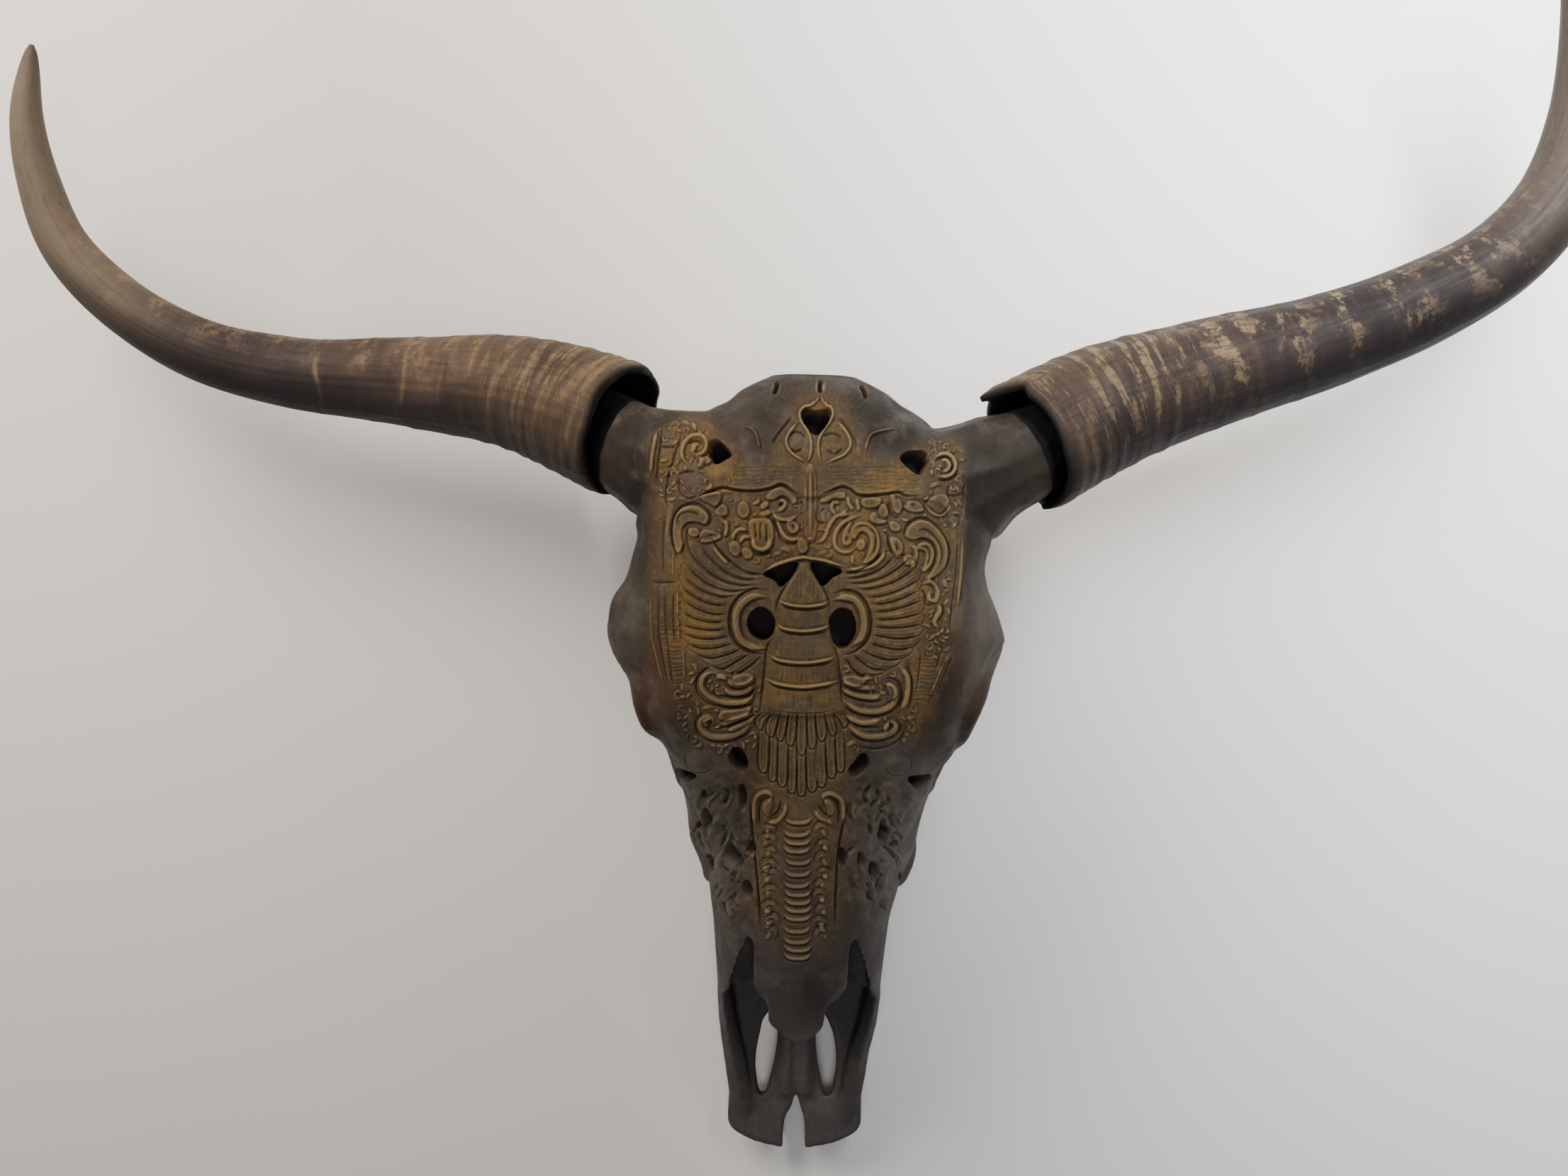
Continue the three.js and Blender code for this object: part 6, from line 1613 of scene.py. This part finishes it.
def bone_material():
    """Old smoke-stained bone: dark and plain at the sides, golden and worn where it is carved, with painted
    shade in its holes, on the horn cores and on darker areas such as the poll, and lighter areas that are
    partly dust and partly painted light.
    """
    n = Nodes("stained_bone")
    place = n.place()
    broad = n.noise(place, 16.0, 3.0)
    cloudy = n.noise(place, 70.0, 5.0, 0.6)
    grain = n.noise(n.stretched(place, (1.0, 0.18, 1.0)), 620.0, 4.0, 0.65)
    pores = n.noise(place, 1500.0, 2.0)
    c = BONE_COLOURS
    colour = n.mix(n.ramp(broad, 0.35, 0.65), c["shade"], c["plain"])
    colour = n.mix(n.ramp(cloudy, 0.4, 0.75, 0.0, 0.5), colour, c["shade"])
    colour = n.mix(n.times(n.value("stain"), n.ramp(cloudy, 0.3, 0.6, 0.6, 0.95)), colour, c["stain"])
    colour = n.mix(n.times(n.value("gold"), n.ramp(cloudy, 0.35, 0.6, 0.15, 0.8)), colour, c["gold"])
    mottle = n.noise(place, 230.0, 5.0, 0.7)
    colour = n.mix(n.times(n.value("stain"), n.ramp(mottle, 0.5, 0.66, 0.0, 0.5)), colour, c["fleck"])
    colour = n.mix(n.times(n.value("stain"), n.ramp(mottle, 0.46, 0.34, 0.0, 0.55)), colour, c["purple"])
    colour = n.mix(n.times(n.value("purple"), 0.7), colour, c["purple"])
    colour = n.mix(n.times(n.value("red"), n.ramp(cloudy, 0.3, 0.6, 0.3, 0.8)), colour, c["red"])
    colour = n.mix(n.times(n.value("nose"), 0.75), colour, c["nose"])
    colour = n.mix(n.ramp(n.noise(place, 38.0, 6.0, 0.7), 0.5, 0.68, 0.0, 0.45), colour, c["dust_and_fill_colour"])
    # Lighter areas, partly dust and partly painted light on bone that lies in shade.
    colour = n.mix(n.times(n.value("dust_and_fill"), n.ramp(cloudy, 0.3, 0.65, 0.5, 1.0)), colour, c["dust_and_fill_colour"])
    # Painted shade on the poll, a horn core, the body and the nose's end.
    colour = n.mix(n.times(n.value("painted_shade"), 0.85), colour, c["shade"])
    colour = n.mix(n.ramp(grain, 0.45, 0.8, 0.0, 0.4), colour, c["groove"])
    colour = n.mix(n.ramp(n.value("cavity"), -0.1, -1.0, 0.0, 0.88), colour, c["groove"])
    handled = n.ramp(n.value("stain"), 0.0, 1.0, 0.3, 1.0)
    worn = n.times(n.ramp(n.value("cavity"), 0.12, 0.9, 0.0, 0.6), handled)
    colour = n.mix(worn, colour, c["worn"])
    # Painted shade inside the holes.
    colour = n.mix(n.ramp(n.value("pit"), 0.15, 0.6), colour, c["pit"])
    # Painted shade on the horn cores by the sheaths' mouths.
    colour = n.mix(n.ramp(n.value("core"), 0.15, 0.6), colour, c["core"])
    deep = n.math("MAXIMUM", n.value("pit"), n.value("core"))
    rough = n.math("MAXIMUM", n.ramp(cloudy, 0.3, 0.7, 0.5, 0.75), n.ramp(deep, 0.15, 0.6))
    normal = n.bump(grain, 0.25, 0.0006)
    normal = n.bump(pores, 0.12, 0.0004, normal)
    return n.finish(colour, rough, normal)


def horn_material():
    """Weathered horn: brown with fine pale rings near the mouth, pale blotches and a tan tip, with painted
    shade on its underside, in its hollow and over the sheath, one sheath far more than the other, and pale
    patches stronger on the side toward the light, which is painted light.
    """
    n = Nodes("weathered_horn")
    grain_place = n.combined(n.value("grain_long"), n.value("grain_round"), n.value("grain_high"))
    streak = n.noise(n.stretched(grain_place, (0.06, 1.0, 1.0)), 420.0, 4.0, 0.6)
    hoops = n.noise(n.stretched(grain_place, (1.0, 0.07, 0.07)), 300.0, 5.0, 0.75)
    patches = n.noise(n.stretched(grain_place, (1.0, 0.17, 0.17)), 150.0, 6.0, 0.7)
    speck = n.noise(n.stretched(grain_place, (0.3, 1.0, 1.0)), 340.0, 5.0, 0.7)
    blotches = n.noise(n.stretched(grain_place, (1.0, 0.6, 0.6)), 64.0, 6.0, 0.72)
    cloud = n.noise(grain_place, 24.0, 4.0)
    along = n.value("along")
    c = HORN_COLOURS
    colour = n.mix(n.ramp(cloud, 0.35, 0.68), c["dark"], c["brown"])
    warm = n.value("warm")
    colour = n.mix(n.times(warm, n.ramp(cloud, 0.3, 0.7, 0.35, 0.9)), colour, c["tan"])
    colour = n.mix(n.ramp(along, 0.50, 0.80, 0.0, 0.92), colour, c["tip"])
    ring_dark = n.times(n.ramp(hoops, 0.52, 0.66, 0.0, 0.6), n.ramp(along, 0.2, 0.45, 1.0, 0.0))
    colour = n.mix(ring_dark, colour, c["dark"])
    near = n.times(n.ramp(patches, 0.49, 0.58, 0.0, 1.0), n.ramp(along, 0.16, 0.26, 1.0, 0.25))
    far = n.times(n.ramp(blotches, 0.5, 0.58, 0.0, 1.0), n.ramp(along, 0.16, 0.26))
    broken = n.times(n.math("MAXIMUM", near, far), n.ramp(speck, 0.32, 0.58, 0.25, 1.0))
    worn = n.times(broken, n.value("tone"))
    colour = n.mix(worn, colour, c["pale"])
    colour = n.mix(n.times(n.value("thread"), n.ramp(speck, 0.3, 0.6, 0.3, 0.8)), colour, c["pale"])
    colour = n.mix(n.ramp(streak, 0.5, 0.85, 0.0, 0.5), colour, c["dark"])
    flecks = n.times(n.ramp(speck, 0.56, 0.72, 0.0, 0.6), n.ramp(along, 0.4, 0.6))
    colour = n.mix(flecks, colour, c["brown"])
    colour = n.mix(n.ramp(along, 0.95, 1.0, 0.0, 0.6), colour, c["brown"])
    # Grey underside, partly painted shade.
    colour = n.mix(n.times(n.value("under"), n.ramp(along, 0.55, 0.9, 0.75, 0.35)), colour, c["grey"])
    # Painted shade that darkens the sheath, less over its pale patches.
    painted_horn_shade = n.times(n.value("painted_horn_shade_share"), n.ramp(worn, 0.1, 0.8, 1.0, 0.5))
    colour = n.mix(painted_horn_shade, colour, c["painted_horn_shade"], "MULTIPLY")
    colour = n.mix(n.value("rim"), colour, c["rim"])
    # Painted shade: the inside of the sheath is near black.
    colour = n.mix(n.value("hollow"), colour, c["hollow"])
    rough = n.ramp(streak, 0.3, 0.7, 0.55, 0.75)
    normal = n.bump(streak, 0.2, 0.0005)
    normal = n.bump(hoops, 0.3, 0.0006, normal)
    normal = n.bump(speck, 0.2, 0.0004, normal)
    return n.finish(colour, rough, normal)


def floor_material():
    """Plain off-white floor with a faint unevenness."""
    n = Nodes("pale_floor")
    place = n.place()
    cloud = n.noise(place, 1.6, 2.0)
    colour = n.mix(n.ramp(cloud, 0.3, 0.7), *FLOOR_COLOURS)
    rough = n.ramp(cloud, 0.3, 0.7, 0.85, 0.95)
    return n.finish(colour, rough, n.bump(n.noise(place, 300.0, 3.0), 0.08, 0.0005))


def area_light(name, place, aim, size, power, colour):
    """A soft square light."""
    data = bpy.data.lights.new(name, "AREA")
    data.size = size
    data.energy = power
    data.color = colour
    made = bpy.data.objects.new(name, data)
    made.location = place
    made.rotation_euler = (Vector(aim) - Vector(place)).to_track_quat("-Z", "Y").to_euler()
    bpy.context.scene.collection.objects.link(made)


# A floor just under the skull, soft lights, a faint even light all round, and how near and how far the
# camera sees, in metres and watts.
FLOOR = {"half": 6.0, "drop": 0.0004}
LIGHTS = [
    {"name": "key", "place": (0.45, 0.65, 1.0), "aim": (1.6, 1.0, 0.0), "size": 0.7, "power": 81.0,
     "colour": (0.96, 0.98, 1.0)},
    {"name": "upper", "place": (-0.9, 1.0, 0.9), "aim": (-0.9, 0.9, 0.0), "size": 1.0, "power": 44.0,
     "colour": (1.0, 0.9, 0.78)},
    {"name": "front", "place": (0.0, -0.24, 1.2), "aim": (0.0, -0.24, 0.0), "size": 0.3, "power": 3.4,
     "colour": (1.0, 0.98, 0.95)},
]
ROOM = {"colour": (0.93, 0.95, 1.0, 1.0), "strength": 0.15}
SIGHT = (0.01, 50.0)


def build_stage():
    """Floor, lights and the camera at the photograph's view."""
    corners = ((-1, -1), (1, -1), (1, 1), (-1, 1))
    mesh = bpy.data.meshes.new("floor")
    mesh.from_pydata([(x * FLOOR["half"], y * FLOOR["half"], -FLOOR["drop"]) for x, y in corners],
                     [], [(0, 1, 2, 3)])
    mesh.materials.append(floor_material())
    floor = bpy.data.objects.new("floor", mesh)
    bpy.context.scene.collection.objects.link(floor)
    for light in LIGHTS:
        area_light(**light)
    world = bpy.data.worlds.new("soft_room")
    world.use_nodes = True
    glow = world.node_tree.nodes["Background"]
    glow.inputs["Color"].default_value = ROOM["colour"]
    glow.inputs["Strength"].default_value = ROOM["strength"]
    bpy.context.scene.world = world
    data = bpy.data.cameras.new("camera")
    data.lens = CAMERA["lens"]
    data.sensor_width = CAMERA["sensor"]
    data.clip_start, data.clip_end = SIGHT
    camera = bpy.data.objects.new("camera", data)
    camera.location = CAMERA["at"]
    camera.rotation_euler = (0.0, 0.0, CAMERA["roll"])
    bpy.context.scene.collection.objects.link(camera)
    bpy.context.scene.camera = camera


build_stage()
build_bones(bone_material())
horn_finish = horn_material()
for horn_name, horn_spec in HORNS.items():
    build_horn(horn_name, horn_spec, horn_finish)
